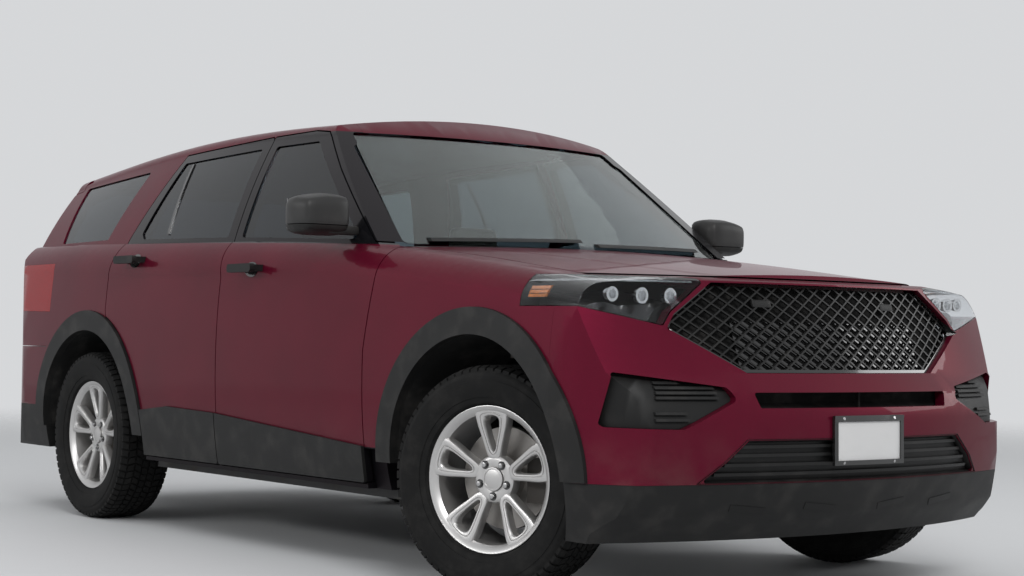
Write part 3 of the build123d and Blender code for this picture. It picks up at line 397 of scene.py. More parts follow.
def soften(bm, edges, width):
    bmesh.ops.bevel(bm, geom=edges, offset=width, segments=2, profile=0.5, affect="EDGES", material=-1)


def meshFrom(bm, name):
    mesh = bpy.data.meshes.new(name)
    bm.to_mesh(mesh)
    bm.free()
    return mesh


def shiftBack(bm, depth):
    bmesh.ops.translate(bm, vec=(0, depth, 0), verts=bm.verts)


def thicken(bm, depth):  # gives an open sheet a wall of this depth, towards the rear
    made = bmesh.ops.extrude_face_region(bm, geom=bm.faces[:])["geom"]
    bmesh.ops.translate(bm, vec=(0, depth, 0), verts=[g for g in made if isinstance(g, bmesh.types.BMVert)])


def toSide(bm, sign):  # pieces are made on the right, and mirrored for the left
    bmesh.ops.scale(bm, vec=(sign, 1, 1), verts=bm.verts)


def addPiece(name, bm, finish, body, sharp=35.0, stands=()):
    bmesh.ops.remove_doubles(bm, verts=bm.verts, dist=0.00001)
    bmesh.ops.recalc_face_normals(bm, faces=bm.faces)
    limit = math.radians(sharp)
    for face in bm.faces:
        face.smooth = True
    for edge in bm.edges:
        edge.smooth = len(edge.link_faces) == 2 and edge.calc_face_angle(0.0) < limit
    mesh = meshFrom(bm, name)
    mesh.materials.append(finishes[finish])
    piece = bpy.data.objects.new(name, mesh)
    scene.collection.objects.link(piece)
    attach(piece, body)
    if stands:
        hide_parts(*stands)
    return piece


def addBlock(bm, size, place, bevel=0.0, turn=None, cuts=0):
    own = bmesh.new()
    bmesh.ops.create_cube(own, size=1.0)
    bmesh.ops.scale(own, vec=size, verts=own.verts)
    if cuts:  # rings across the longest side, to follow a curved surface
        longest = max(range(3), key=lambda i: size[i])
        runs = [e for e in own.edges if abs((e.verts[0].co - e.verts[1].co)[longest]) > 0.5 * size[longest]]
        bmesh.ops.subdivide_edges(own, edges=runs, cuts=cuts, use_grid_fill=True)
    if bevel:
        edges = [e for e in own.edges if e.calc_face_angle(0.0) > 0.6]
        soften(own, edges, bevel)
    if turn:
        bmesh.ops.rotate(own, matrix=turn, verts=own.verts)
    bmesh.ops.translate(own, vec=place, verts=own.verts)
    joinIn(bm, own)


def joinIn(bm, own):  # adds one piece's shape to another and frees it
    mesh = meshFrom(own, "joined")
    bm.from_mesh(mesh)
    bpy.data.meshes.remove(mesh)


def mirrorCopy(bm):  # adds the other side of the car
    copied = bmesh.ops.duplicate(bm, geom=bm.verts[:] + bm.edges[:] + bm.faces[:])["geom"]
    verts = [g for g in copied if isinstance(g, bmesh.types.BMVert)]
    bmesh.ops.scale(bm, vec=(-1, 1, 1), verts=verts)
    bmesh.ops.reverse_faces(bm, faces=[g for g in copied if isinstance(g, bmesh.types.BMFace)])


corners = [(end, side) for end in ("front", "rear") for side in ("right", "left")]
sides = (("right", 1), ("left", -1))


def addFront(name, bm, surface, miss, finish, stands=()):
    layOn(bm, surface, "front", miss)
    addPiece(name, bm, finish, "body", 35.0, stands)


# CAD nodes that keep their shape and get a finish
nodeFinishes = {
    "paintFender": ["fenders"],
    "paint": ["roof_panel", "front_bumper_cover", "rear_bumper_cover", "liftgate_shell"],
    "paintHood": ["hood"],
    "paintPillars": ["body_side_right", "body_side_left"],
    "paintFramed": [f"{end}_door_shell_{side}" for end, side in corners],
    "tinted": [f"{end}_door_glass_{side}" for end, side in corners] + ["liftgate_glass"],
    "windscreen": ["fixed_glass"],
    "trimGrey": [f"{end}_door_trim_{side}" for end, side in corners]
                + ["arch_trims", "front_valance", "rear_valance"],
    "trimBlack": ["cowl_panel", "wipers"],
    "pocketBlack": ["bumper_grilles"],
    "linerBlack": ["wheel_liners"],
    "cabinGrain": ["dashboard", "steering_wheel"],
    "chassis": ["front_frame", "radiator", "driveshaft", "floor_pan"],
    "engine": ["engine_block"],
    "exhaust": ["exhaust"],
    "iron": ["suspension", "steering_knuckle_right", "steering_knuckle_left"],
    "disc": [f"brake_disc_{end}_{side}" for end, side in corners],
}


def dressNode(name, finish):
    node = nodes[name]
    node.data.materials.clear()
    node.data.materials.append(finishes[finish])
    for attribute in [a for a in node.data.attributes if a.name == "custom_normal"]:
        node.data.attributes.remove(attribute)
    node.data.polygons.foreach_set("use_smooth", [True] * len(node.data.polygons))
    weld = node.modifiers.new("weld", "WELD")
    weld.merge_threshold = 0.00002
    split = node.modifiers.new("split", "EDGE_SPLIT")
    split.split_angle = math.radians(36.0)
    node.modifiers.new("even", "WEIGHTED_NORMAL")


for finish, names in nodeFinishes.items():
    for name in names:
        dressNode(name, finish)
print("CAD nodes dressed")

# wheels: the outer side is at +x while a wheel is made
restSteer = math.radians(18.0)


def wheelPlace(end, side):
    centre = Vector(joints[f"wheel_{end}_{side}_spin"]["pos_m"])
    turn = Matrix.Rotation(restSteer if end == "front" else 0.0, 4, "Z")
    flip = Matrix.Diagonal((-1.0 if side == "right" else 1.0, 1.0, 1.0, 1.0))
    return Matrix.Translation(centre) @ turn @ flip


def spinProfile(bm, profile, steps, closed=True):
    verts = [bm.verts.new((x, 0.0, r)) for x, r in profile]
    pairs = list(zip(verts, verts[1:] + (verts[:1] if closed else [])))
    edges = [bm.edges.new(pair) for pair in (pairs if closed else pairs[:len(verts) - 1])]
    bmesh.ops.spin(
        bm, geom=verts + edges, cent=(0, 0, 0), axis=(1, 0, 0), angle=math.tau, steps=steps,
        use_merge=True, use_duplicate=False,
    )


tyreShape = {
    "steps": 96,
    "side": [
        (0.0860, 0.2285), (0.0905, 0.2462), (0.0990, 0.2500), (0.1040, 0.2540), (0.1095, 0.2560),
        (0.1130, 0.2640), (0.1160, 0.2740), (0.1185, 0.2745), (0.1215, 0.2850), (0.1250, 0.2990),
        (0.1270, 0.3170), (0.1268, 0.3300), (0.1250, 0.3305), (0.1240, 0.3420), (0.1243, 0.3445),
        (0.1222, 0.3500), (0.1170, 0.3600), (0.1080, 0.3680), (0.0960, 0.3718), (0.0500, 0.3732),
    ],
    "bead": (0.072, 0.2290),
    "blocks": 70,
    "rows": [  # middle x, width, length share, twist, outer drop
        (0.0, 0.026, 0.86, 0.25, 0.0), (0.034, 0.030, 0.80, 0.45, 0.0), (-0.034, 0.030, 0.80, 0.45, 0.0),
        (0.071, 0.032, 0.78, -0.25, 0.0012), (-0.071, 0.032, 0.78, -0.25, 0.0012),
        (0.105, 0.026, 0.72, 0.12, 0.0105), (-0.105, 0.026, 0.72, 0.12, 0.0105),
    ],
    "top": 0.3804,
    "depth": 0.012,
}


def makeTyre(shape):
    bm = bmesh.new()
    right = shape["side"]
    profile = right + [(-x, r) for x, r in reversed(right)]
    profile += [(-shape["bead"][0], shape["bead"][1]), (shape["bead"][0], shape["bead"][1])]
    spinProfile(bm, profile, shape["steps"])
    step = math.tau / shape["blocks"]
    pitch = step * shape["top"]
    for number, (x, width, share, twist, drop) in enumerate(shape["rows"]):
        for index in range(shape["blocks"]):
            made = bmesh.ops.create_cube(bm, size=1.0)["verts"]
            bmesh.ops.scale(bm, vec=(width, pitch * share, shape["depth"]), verts=made)
            for vert in made:  # blocks taper upwards and fall away at the shoulder
                vert.co.y += vert.co.x * twist
                outward = 0.5 + vert.co.x / width * (1 if x > 0 else -1)
                vert.co.z -= drop * (outward if x else 0.0)
                if vert.co.z > 0:
                    vert.co.x *= 0.93
            bmesh.ops.translate(bm, vec=(x, 0, shape["top"] - shape["depth"] / 2), verts=made)
            turn = Matrix.Rotation(step * (index + 0.5 * (number % 2)), 3, "X")
            bmesh.ops.rotate(bm, matrix=turn, verts=made)
    return bm


rimShape = {
    "steps": 96,
    "profile": [
        (0.0960, 0.2360), (0.0985, 0.2400), (0.1000, 0.2440), (0.0995, 0.2460), (0.0965, 0.2462),
        (0.0915, 0.2450), (0.0890, 0.2290), (-0.0860, 0.2280), (-0.0910, 0.2450), (-0.1000, 0.2455),
        (-0.1000, 0.2200), (0.0500, 0.2160), (0.0800, 0.2190), (0.0920, 0.2290),
    ],
    "petals": 5,
    "outer": [
        (0.060, 0.000), (0.062, 0.017), (0.075, 0.027), (0.095, 0.0335), (0.120, 0.0405), (0.150, 0.0510),
        (0.180, 0.0610), (0.205, 0.0670), (0.226, 0.0700), (0.236, 0.0640), (0.239, 0.030), (0.239, 0.0),
    ],
    "inner": [
        (0.094, 0.000), (0.098, 0.0055), (0.112, 0.0105), (0.132, 0.0165), (0.154, 0.0225),
        (0.176, 0.0275), (0.194, 0.0285), (0.205, 0.0235), (0.210, 0.012), (0.211, 0.0),
    ],
    "section": [  # share of the way inwards, depth below the face
        (0.0, -0.036), (0.0, -0.013), (0.05, -0.0065), (0.14, -0.0015), (0.25, 0.0), (0.50, 0.0004),
        (0.58, 0.0), (0.62, -0.0030), (0.67, -0.0030), (0.71, 0.0), (0.86, -0.0008), (0.95, -0.0045),
        (1.0, -0.011), (1.0, -0.036),
    ],
    "face": {"from": 0.070, "to": 0.239, "fromX": 0.0690, "toX": 0.0930},
    "samples": 34,
    "hub": [
        (0.0300, 0.040), (0.0665, 0.040), (0.0680, 0.0410), (0.0690, 0.0440), (0.0690, 0.0660),
        (0.0675, 0.0720), (0.0630, 0.0780), (0.0540, 0.0815), (0.0300, 0.0820),
    ],
    "lugRadius": 0.05715,
    "cap": [
        (0.0690, 0.0395), (0.0745, 0.0395), (0.0755, 0.0370), (0.0752, 0.0335), (0.0735, 0.0325),
        (0.0745, 0.0290), (0.0765, 0.0180), (0.0775, 0.0080), (0.0776, 0.0),
    ],
}


def alongLine(points, share):  # the point at a share of a polyline's length
    points = [Vector(p) for p in points]
    runs = [(b - a).length for a, b in zip(points, points[1:])]
    left = sum(runs) * share
    for a, b, run in zip(points, points[1:], runs):
        if left <= run:
            return a.lerp(b, left / run)
        left -= run
    return points[-1].copy()


def makePetals(bm, shape):  # a grid wrapped round the petal's ring and round its section
    face = shape["face"]
    slope = (face["toX"] - face["fromX"]) / (face["to"] - face["from"])
    section = shape["section"] + shape["section"][:1]
    around = 2 * shape["samples"]
    for petal in range(shape["petals"]):
        turn = Matrix.Rotation(math.tau * petal / shape["petals"], 3, "X")
        made = bmesh.ops.create_grid(bm, x_segments=around, y_segments=len(section) - 1, size=1.0)["verts"]
        for vert in made:
            run = vert.co.x  # -1 to 1 round the ring, 0 at the hub
            share, depth = section[round((vert.co.y + 1) / 2 * (len(section) - 1))]
            point = alongLine(shape["outer"], abs(run)).lerp(alongLine(shape["inner"], abs(run)), share)
            side = 1 if run > 0 else -1
            x = face["fromX"] + slope * (point.x - face["from"]) + depth
            vert.co = turn @ Vector((x, side * point.y, point.x))


def makeRim(shape):
    bm = bmesh.new()
    spinProfile(bm, shape["profile"], shape["steps"])
    makePetals(bm, shape)
    spinProfile(bm, shape["hub"], 60)
    return bm


def makeCap(shape):
    bm = bmesh.new()
    spinProfile(bm, shape["cap"], 40, closed=False)
    return bm


nutShape = {
    "count": 5,
    "radius": 0.0100,
    "bevel": 0.0014,
    "well": 0.0148,
    "wellWall": 0.0010,
    "face": 0.0696,
    "x": 0.0660,
    "tip": 0.0800,
}


def nutPlaces(nut, lug, x):
    for index in range(nut["count"]):
        turn = Matrix.Rotation(math.tau * (index + 0.5) / nut["count"], 4, "X")
        yield turn @ facing("x", x, 0, lug)


def makeWells(nut, lug):  # flat black discs round the nuts: painted shade of the recessed nut seats
    bm = bmesh.new()
    for place in nutPlaces(nut, lug, nut["face"]):
        bmesh.ops.create_circle(bm, cap_ends=True, segments=24, radius=nut["well"], matrix=place)
    bmesh.ops.solidify(bm, geom=bm.faces[:], thickness=nut["wellWall"])
    return bm


def makeNuts(nut, lug):
    bm = bmesh.new()
    length = nut["tip"] - nut["x"]
    for place in nutPlaces(nut, lug, nut["x"] + length / 2):
        bmesh.ops.create_cone(
            bm, cap_ends=True, segments=6, radius1=nut["radius"], radius2=nut["radius"] * 0.92,
            depth=length, matrix=place,
        )
    edges = [e for e in bm.edges if e.calc_face_angle(0.0) > 0.5]
    soften(bm, edges, nut["bevel"])
    return bm


wheelMakers = (
    ("tyre", makeTyre(tyreShape), "rubber", "tyre_rubber"),
    ("rim", makeRim(rimShape), "alloy", "silver_alloy"),
    ("centreCap", makeCap(rimShape), "alloy", None),
    # lug wells: black discs, painted shade of the recesses round the nuts
    ("lugWells", makeWells(nutShape, rimShape["lugRadius"]), "gloss", None),
    ("lugNuts", makeNuts(nutShape, rimShape["lugRadius"]), "nut", None),
)
for end, side in corners:
    for label, base, finish, slot in wheelMakers:
        bm = base.copy()
        bmesh.ops.transform(bm, matrix=wheelPlace(end, side), verts=bm.verts)
        node = f"{label}_{end}_{side}"
        stands = (node,) if node in nodes else ()
        pieceName = f"{label}Detail_{end}_{side}"
        addPiece(pieceName, bm, finish, f"wheel_{end}_{side}", 30.0, stands)
print("wheels made")

# diamond mesh of the grille, laid on the CAD grille's front
halfWidth, roofHeight = 0.990, 1.768
grilleShape = {
    "outline": [(-0.505, 0.588), (-0.662, 0.529), (-0.697, 0.503), (-0.444, 0.424)],
    "pitchX": 0.062,
    "pitchZ": 0.041,
    "bar": 0.0052,
    "barDepth": 0.010,
    "barLength": 1.9,
    "bars": 30,
    "meshInset": 0.0088,
    "rim": 0.011,
    "rimInset": 0.0012,
    "rimDepth": 0.014,
    "proud": 0.004,
    "centre": (0.0, 0.890),
    "miss": -2.3,
    "backing": {"area": (-0.70, 0.70, 0.74, 1.05), "thick": 0.003, "deep": 0.030, "inset": 0.004},
    "centrePanel": {"area": (-0.43, 0.43, 0.755, 0.915), "thick": 0.006, "deep": 0.016},
    "pod": {"x": 0.30, "z": 0.975, "deep": 0.006, "size": (0.075, 0.014, 0.026), "bevel": 0.004},
}


def mirroredOutline(right):  # the right half's points, and the left half's back to the start
    return [Vector(p) for p in right + [(-x, z) for x, z in reversed(right)]]


def grilleOutline(shape, shrink=0.0):
    points = mirroredOutline([(x * halfWidth, z * roofHeight) for x, z in shape["outline"]])
    middle = sum(points, Vector((0, 0))) / len(points)
    if not shrink:
        return points
    moved = []
    count = len(points)
    for index, point in enumerate(points):  # offsets both edges of each corner
        before = (point - points[index - 1]).normalized()
        after = (points[(index + 1) % count] - point).normalized()
        inward = Vector((-before.y, before.x)) + Vector((-after.y, after.x))
        if inward.dot(middle - point) < 0:
            inward = -inward
        inward.normalize()
        across = abs(inward.dot(Vector((-after.y, after.x))))
        moved.append(point + inward * shrink / max(0.3, across))
    return moved


def cutToOutline(bm, outline):
    middle = sum(outline, Vector((0, 0))) / len(outline)
    for a, b in zip(outline, outline[1:] + outline[:1]):
        normal = Vector((b.y - a.y, 0, a.x - b.x))
        if normal.dot(Vector((middle.x - a.x, 0, middle.y - a.y))) > 0:
            normal = -normal
        cutAway(bm, (a.x, 0, a.y), normal, clear_outer=True)


def makeMesh(shape):
    bm = bmesh.new()
    angle = math.atan(shape["pitchZ"] / shape["pitchX"])
    size = (shape["barLength"], shape["barDepth"], shape["bar"])
    for direction in (1, -1):
        turn = Matrix.Rotation(-direction * angle, 3, "Y")
        for index in range(-shape["bars"], shape["bars"] + 1):
            x = shape["centre"][0] + index * shape["pitchX"]
            addBlock(bm, size, (x, shape["barDepth"] / 2, shape["centre"][1]), turn=turn, cuts=40)
    cutToOutline(bm, grilleOutline(shape, shape["meshInset"]))
    return bm


grilleSurface, grilleMiss = surfaceOf("grille"), grilleShape["miss"]
bm = makeMesh(grilleShape)
layOn(bm, grilleSurface, "front", grilleMiss)
addPiece("grilleMesh", bm, "meshBlack", "body", 30.0, ("grille",))


def outlineRing(outline, inner, depth, cuts=14):  # a frame between two outlines, with a depth
    bm = bmesh.new()
    first = [bm.verts.new((p.x, 0, p.y)) for p in outline]
    second = [bm.verts.new((p.x, 0, p.y)) for p in inner]
    count = len(first)
    for index in range(count):
        after = (index + 1) % count
        bm.faces.new((first[index], first[after], second[after], second[index]))
    long = [e for e in bm.edges if e.calc_length() > 0.05]
    bmesh.ops.subdivide_edges(bm, edges=long, cuts=cuts, use_grid_fill=True)
    thicken(bm, depth)
    return bm


rimEdges = [grilleOutline(grilleShape, grilleShape[key]) for key in ("rimInset", "rim")]
bm = outlineRing(*rimEdges, grilleShape["rimDepth"])
shiftBack(bm, -grilleShape["proud"])
addFront("grilleFrame", bm, grilleSurface, grilleMiss, "gloss")


def plainSheet(area, columns, rows, thick, deep):
    left, right, low, high = area
    bm = bmesh.new()
    bmesh.ops.create_grid(bm, x_segments=columns, y_segments=rows, size=0.5)
    bmesh.ops.rotate(bm, matrix=Matrix.Rotation(math.pi / 2, 3, "X"), verts=bm.verts)
    bmesh.ops.scale(bm, vec=(right - left, 1, high - low), verts=bm.verts)
    bmesh.ops.translate(bm, vec=((left + right) / 2, 0, (low + high) / 2), verts=bm.verts)
    thicken(bm, thick)
    shiftBack(bm, deep)
    return bm


backing = grilleShape["backing"]
bm = plainSheet(backing["area"], 40, 10, backing["thick"], backing["deep"])
cutToOutline(bm, grilleOutline(grilleShape, backing["inset"]))
addFront("grilleBacking", bm, grilleSurface, grilleMiss, "linerBlack")
panel = grilleShape["centrePanel"]
bm = plainSheet(panel["area"], 30, 6, panel["thick"], panel["deep"])
addFront("grilleCentrePanel", bm, grilleSurface, grilleMiss, "gloss")
pod = grilleShape["pod"]
bm = bmesh.new()
for x in (-pod["x"], pod["x"]):
    addBlock(bm, pod["size"], (x, pod["deep"], pod["z"]), bevel=pod["bevel"], cuts=4)
addFront("grillePods", bm, grilleSurface, grilleMiss, "trimBlack")
print("grille made")

# headlamps: the lens is the CAD lamp's own outer skin, the bowl its sides and back
lampShape = {
    "starts": (  # where a ray starts, and its direction
        ((0.80, -4.0, 1.00), (0, 1, 0)),
        ((3.0, -1.95, 1.00), (-1, 0, 0)),
        ((3.0, -2.02, 1.02), (-1, 0, 0)),
    ),
    "lensWall": 0.0025,
    "projectors": ((0.640, 0.992, 0.026), (0.735, 0.992, 0.026), (0.830, 0.995, 0.024)),  # x, z, radius
    "bezelDeep": 0.030,
    "bezelLength": 0.024,
    "projectorDeep": 0.024,
    "lightBar": {"from": 0.560, "to": 0.930, "z": 1.040, "deep": 0.016, "size": (0.010, 0.007)},
    "amber": {"heights": (0.990, 1.003, 1.016), "y": -1.955, "deep": 0.012, "size": (0.008, 0.085, 0.011)},
}


def lampParts(node, starts, limit=22.0):  # the outer skin, spread from each start's hit, and the rest
    source = bmesh.new()
    source.from_mesh(nodes[node].data)
    bmesh.ops.remove_doubles(source, verts=source.verts, dist=0.00002)
    source.faces.ensure_lookup_table()
    tree = BVHTree.FromBMesh(source)
    seen = set()
    for sign in (-1, 1):
        for origin, direction in starts:
            flip = Vector((sign, 1, 1))
            index = tree.ray_cast(Vector(origin) * flip, Vector(direction) * flip)[2]
            if index is None:
                continue
            stack = [source.faces[index]]
            seen.add(index)
            while stack:
                for edge in stack.pop().edges:
                    for other in edge.link_faces:
                        if other.index not in seen and edge.calc_face_angle(math.pi) < math.radians(limit):
                            seen.add(other.index)
                            stack.append(other)
    out = []
    for wanted in (True, False):
        part = source.copy()
        part.faces.ensure_lookup_table()
        gone = [f for f in part.faces if (f.index in seen) != wanted]
        bmesh.ops.delete(part, geom=gone, context="FACES")
        out.append(part)
    source.free()
    return out


def addLamps(name, node, shape, finish):
    lensBm, bowlBm = lampParts(node, shape["starts"])
    bmesh.ops.solidify(lensBm, geom=lensBm.faces[:], thickness=shape["lensWall"])
    addPiece(f"{name}Lenses", lensBm, finish, "body", 30.0, (node,))
    addPiece(f"{name}Bowls", bowlBm, "lampBowl", "body", 30.0)


addLamps("headlamp", "headlamps", lampShape, "lens")
lampSurface = surfaceOf("headlamps")
bm = bmesh.new()
bar = lampShape["lightBar"]
barPlace = (-(bar["to"] + bar["from"]) / 2, bar["deep"], bar["z"])
addBlock(bm, (bar["to"] - bar["from"], *bar["size"]), barPlace, cuts=30)
mirrorCopy(bm)
addFront("headlampLightBars", bm, lampSurface, -1.95, "whiteLens")
for label, finish, deep in (
    ("Bezels", "chrome", lampShape["bezelDeep"]),
    ("Projectors", "whiteLens", lampShape["projectorDeep"]),
):
    bm = bmesh.new()
    for x, z, radius in lampShape["projectors"]:
        for sign in (-1, 1):
            hit = lampSurface.ray_cast(Vector((sign * x, -farOff, z)), Vector((0, 1, 0)))[0]
            place = facing("y", sign * x, hit.y + deep, z)
            if label == "Bezels":
                bmesh.ops.create_cone(
                    bm, cap_ends=True, segments=32, radius1=radius * 0.8, radius2=radius,
                    depth=lampShape["bezelLength"], matrix=place,
                )
            else:
                flat = place @ Matrix.Diagonal((1, 1, 0.55, 1))
                bmesh.ops.create_uvsphere(bm, u_segments=24, v_segments=12, radius=radius * 0.8, matrix=flat)
    addPiece(f"headlamp{label}", bm, finish, "body")
amber = lampShape["amber"]
bm = bmesh.new()
for z in amber["heights"]:
    addBlock(bm, amber["size"], (amber["deep"], amber["y"], z), cuts=8)
layOn(bm, lampSurface, "right", -0.95)
mirrorCopy(bm)
addPiece("headlampAmber", bm, "amber", "body")
print("headlamps made")

# bumper openings
pocketSurface = surfaceOf("bumper_grilles")
finShape = {
    "upper": {"from": 0.575, "to": 0.785, "low": 0.672, "pitch": 0.0155, "count": 4},
    "lower": {"from": 0.690, "to": 0.800, "low": 0.604, "pitch": 0.020, "count": 2},
    "taper": 0.006,
    "proud": 0.006,
    "size": (0.010, 0.0085),
}
bm = bmesh.new()
for block in (finShape["upper"], finShape["lower"]):
    for index in range(block["count"]):
        length = block["to"] - block["from"] - finShape["taper"] * index
        x, z = -(block["to"] + block["from"]) / 2, block["low"] + index * block["pitch"]
        addBlock(bm, (length, *finShape["size"]), (x, -finShape["proud"], z), cuts=16)
mirrorCopy(bm)
addFront("pocketFins", bm, pocketSurface, -2.2, "trimGrey")

lowerShape = {
    "bars": ((0.432, 0.60), (0.462, 0.57), (0.492, 0.54), (0.519, 0.51)),  # height, half length
    "barSize": (0.012, 0.010),
    "barProud": 0.005,
    "outline": [(-0.500, 0.543), (-0.664, 0.4045)],
    "opening": [(-0.490, 0.532), (-0.636, 0.412)],
    "frameDepth": 0.012,
    "frameProud": 0.004,
    "miss": -2.45,
}
bm = bmesh.new()
for z, half in lowerShape["bars"]:
    addBlock(bm, (2 * half, *lowerShape["barSize"]), (0, -lowerShape["barProud"], z), cuts=40)
addFront("lowerGrilleBars", bm, pocketSurface, lowerShape["miss"], "meshBlack")

slotShape = {
    "area": (-0.47, 0.47, 0.630, 0.700),
    "thick": 0.004,
    "deep": 0.050,
    "post": ((0.008, 0.030, 0.058), (0.02, 0.034, 0.665)),  # size, place
    "foremost": -2.452,
}
bm = plainSheet(slotShape["area"], 30, 3, slotShape["thick"], slotShape["deep"])
addBlock(bm, *slotShape["post"])
layOn(bm, surfaceOf("front_bumper_cover"), "front", -2.44)
for vert in bm.verts:
    vert.co.y = max(vert.co.y, slotShape["foremost"])
addPiece("slotBacking", bm, "linerBlack", "body")

frameEdges = [mirroredOutline(lowerShape[key]) for key in ("outline", "opening")]
bm = outlineRing(*frameEdges, lowerShape["frameDepth"], 30)
shiftBack(bm, -lowerShape["frameProud"])
frameSurface = surfaceOf("front_bumper_cover", "bumper_grilles", "front_valance")
addFront("lowerGrilleFrame", bm, frameSurface, lowerShape["miss"], "trimGrey")

# number plate: a black frame with a blank plate
plateShape = {
    "outer": [(-0.165, 0.6150), (-0.165, 0.4545)],
    "inner": [(-0.149, 0.5950), (-0.149, 0.4700)],
    "frameDepth": 0.011,
    "area": (-0.151, 0.151, 0.468, 0.597),
    "thick": 0.002,
    "deep": 0.005,
    "screws": ((-0.12, 0.606), (0.12, 0.606), (-0.12, 0.462), (0.12, 0.462)),
    "screw": {"radius": 0.0062, "tip": 0.0045, "length": 0.002, "deep": 0.0005},
    "miss": -2.52,
}
plateSurface = surfaceOf("front_plate")
plateEdges = [mirroredOutline(plateShape[key]) for key in ("outer", "inner")]
bm = outlineRing(*plateEdges, plateShape["frameDepth"], 8)
addFront("plateFrame", bm, plateSurface, plateShape["miss"], "gloss", ("front_plate",))
bm = plainSheet(plateShape["area"], 12, 2, plateShape["thick"], plateShape["deep"])
addFront("blankPlate", bm, plateSurface, plateShape["miss"], "plate")
screw = plateShape["screw"]
bm = bmesh.new()
for x, z in plateShape["screws"]:
    bmesh.ops.create_cone(
        bm, cap_ends=True, segments=16, radius1=screw["radius"], radius2=screw["tip"],
        depth=screw["length"], matrix=facing("y", x, screw["deep"], z),
    )
addFront("plateScrews", bm, plateSurface, plateShape["miss"], "nut")
print("bumper made")

# door mirrors: upper cap in a lighter grey, a painted sheen on its top, darker housing with the foot, and the
# glass at the back
mirrorShape = {
    "centre": (-1.018, -0.712, 1.304),
    "size": (0.230, 0.156, 0.158),
    "seam": 1.262,
    "seamGap": 0.003,
    "slope": 0.20,
    "arm": (0.130, 0.052, 0.034),
    "armPlace": (-0.935, -0.742, 1.246),
    "glassPlace": (-1.020, -0.6345, 1.306),
    "glass": (0.176, 0.002, 0.112),
}


def mirrorHead(look):
    bm = bmesh.new()
    bmesh.ops.create_cube(bm, size=2.0)
    bmesh.ops.subdivide_edges(bm, edges=bm.edges[:], cuts=15, use_grid_fill=True)
    width, depth, height = (0.5 * size for size in look["size"])
    for vert in bm.verts:  # a rounded box whose top falls away outwards and forwards
        x, y, z = vert.co
        reach = (abs(x) ** 4 + abs(y) ** 4 + abs(z) ** 4) ** 0.25 / max(abs(x), abs(y), abs(z))
        x, y, z = x / reach ** 0.8, y / reach ** 0.8, z / reach ** 0.8
        fall = 1.0 - look["slope"] * max(0.0, -x) - 0.12 * max(0.0, -y)
        shrink = 1.0 - 0.14 * max(0.0, -y)
        vert.co = Vector((x * width * shrink, y * depth, z * height * (fall if z > 0 else shrink)))
    bmesh.ops.translate(bm, vec=look["centre"], verts=bm.verts)
    return bm


def cutAcross(bm, height, above):  # keeps the part above or below a height, closed
    cut = cutAway(bm, (0, 0, height), (0, 0, 1), clear_inner=above, clear_outer=not above)
    edges = [g for g in cut["geom_cut"] if isinstance(g, bmesh.types.BMEdge)]
    bmesh.ops.holes_fill(bm, edges=edges, sides=0)


for side, sign in sides:
    for label, finish, above in (("Cap", "mirrorCapSheen", True), ("Housing", "trimBlack", False)):
        bm = mirrorHead(mirrorShape)
        cutAcross(bm, mirrorShape["seam"] + (0.5 if above else -0.5) * mirrorShape["seamGap"], above)
        if not above:
            addBlock(bm, mirrorShape["arm"], mirrorShape["armPlace"], bevel=0.010)
        toSide(bm, sign)
        stands = () if above else (f"door_mirror_{side}",)
        addPiece(f"mirror{label}_{side}", bm, finish, f"front_door_{side}", 40.0, stands)
    bm = bmesh.new()
    addBlock(bm, mirrorShape["glass"], mirrorShape["glassPlace"])
    toSide(bm, sign)
    addPiece(f"mirrorGlass_{side}", bm, "chrome", f"front_door_{side}")
print("mirrors made")

# seats: padded pieces from the CAD seats' own shape
seatShape = {"voxel": 0.022, "smoothings": 6, "middle": 0.1, "rearFrom": 0.45}


def padSeat(name, keep):
    bm = bmesh.new()
    bm.from_mesh(nodes["seats"].data)
    bmesh.ops.remove_doubles(bm, verts=bm.verts, dist=0.00002)
    bmesh.ops.delete(bm, geom=[v for v in bm.verts if not keep(v.co)], context="VERTS")
    rough = bpy.data.objects.new(name + "Rough", meshFrom(bm, name + "Rough"))
    scene.collection.objects.link(rough)
    remesh = rough.modifiers.new("remesh", "REMESH")
    remesh.mode = "VOXEL"
    remesh.voxel_size = seatShape["voxel"]
    bpy.context.view_layer.update()
    made = bpy.data.meshes.new_from_object(rough.evaluated_get(bpy.context.evaluated_depsgraph_get()))
    bm = bmesh.new()
    bm.from_mesh(made)
    bpy.data.objects.remove(rough)
    for _ in range(seatShape["smoothings"]):
        bmesh.ops.smooth_vert(
            bm, verts=bm.verts, factor=0.5, use_axis_x=True, use_axis_y=True, use_axis_z=True,
        )
    return bm


for label, keep in (
    ("driverSeat", lambda c: c.x > seatShape["middle"] and c.y < seatShape["rearFrom"]),
    ("passengerSeat", lambda c: c.x < -seatShape["middle"] and c.y < seatShape["rearFrom"]),
    ("rearBench", lambda c: c.y > seatShape["rearFrom"]),
):
    stands = ("seats",) if label == "driverSeat" else ()
    seat = addPiece(label, padSeat(label, keep), "seatCloth", "body", 60.0, stands)
print("seats made")

# dividing bar of each rear door window
windowBarShape = {"size": (0.010, 0.018, 0.322), "place": (-0.001, 0.778, 1.447), "lean": (0.045, 0.35)}
for side, sign in sides:
    bm = bmesh.new()
    turn = Matrix.Rotation(-math.atan2(*windowBarShape["lean"]), 3, "X")
    addBlock(bm, windowBarShape["size"], windowBarShape["place"], turn=turn, cuts=12)
    layOn(bm, surfaceOf("rear_door_glass_right"), "right", -0.95)
    toSide(bm, sign)
    addPiece(f"windowBar_{side}", bm, "gloss", f"rear_door_{side}")

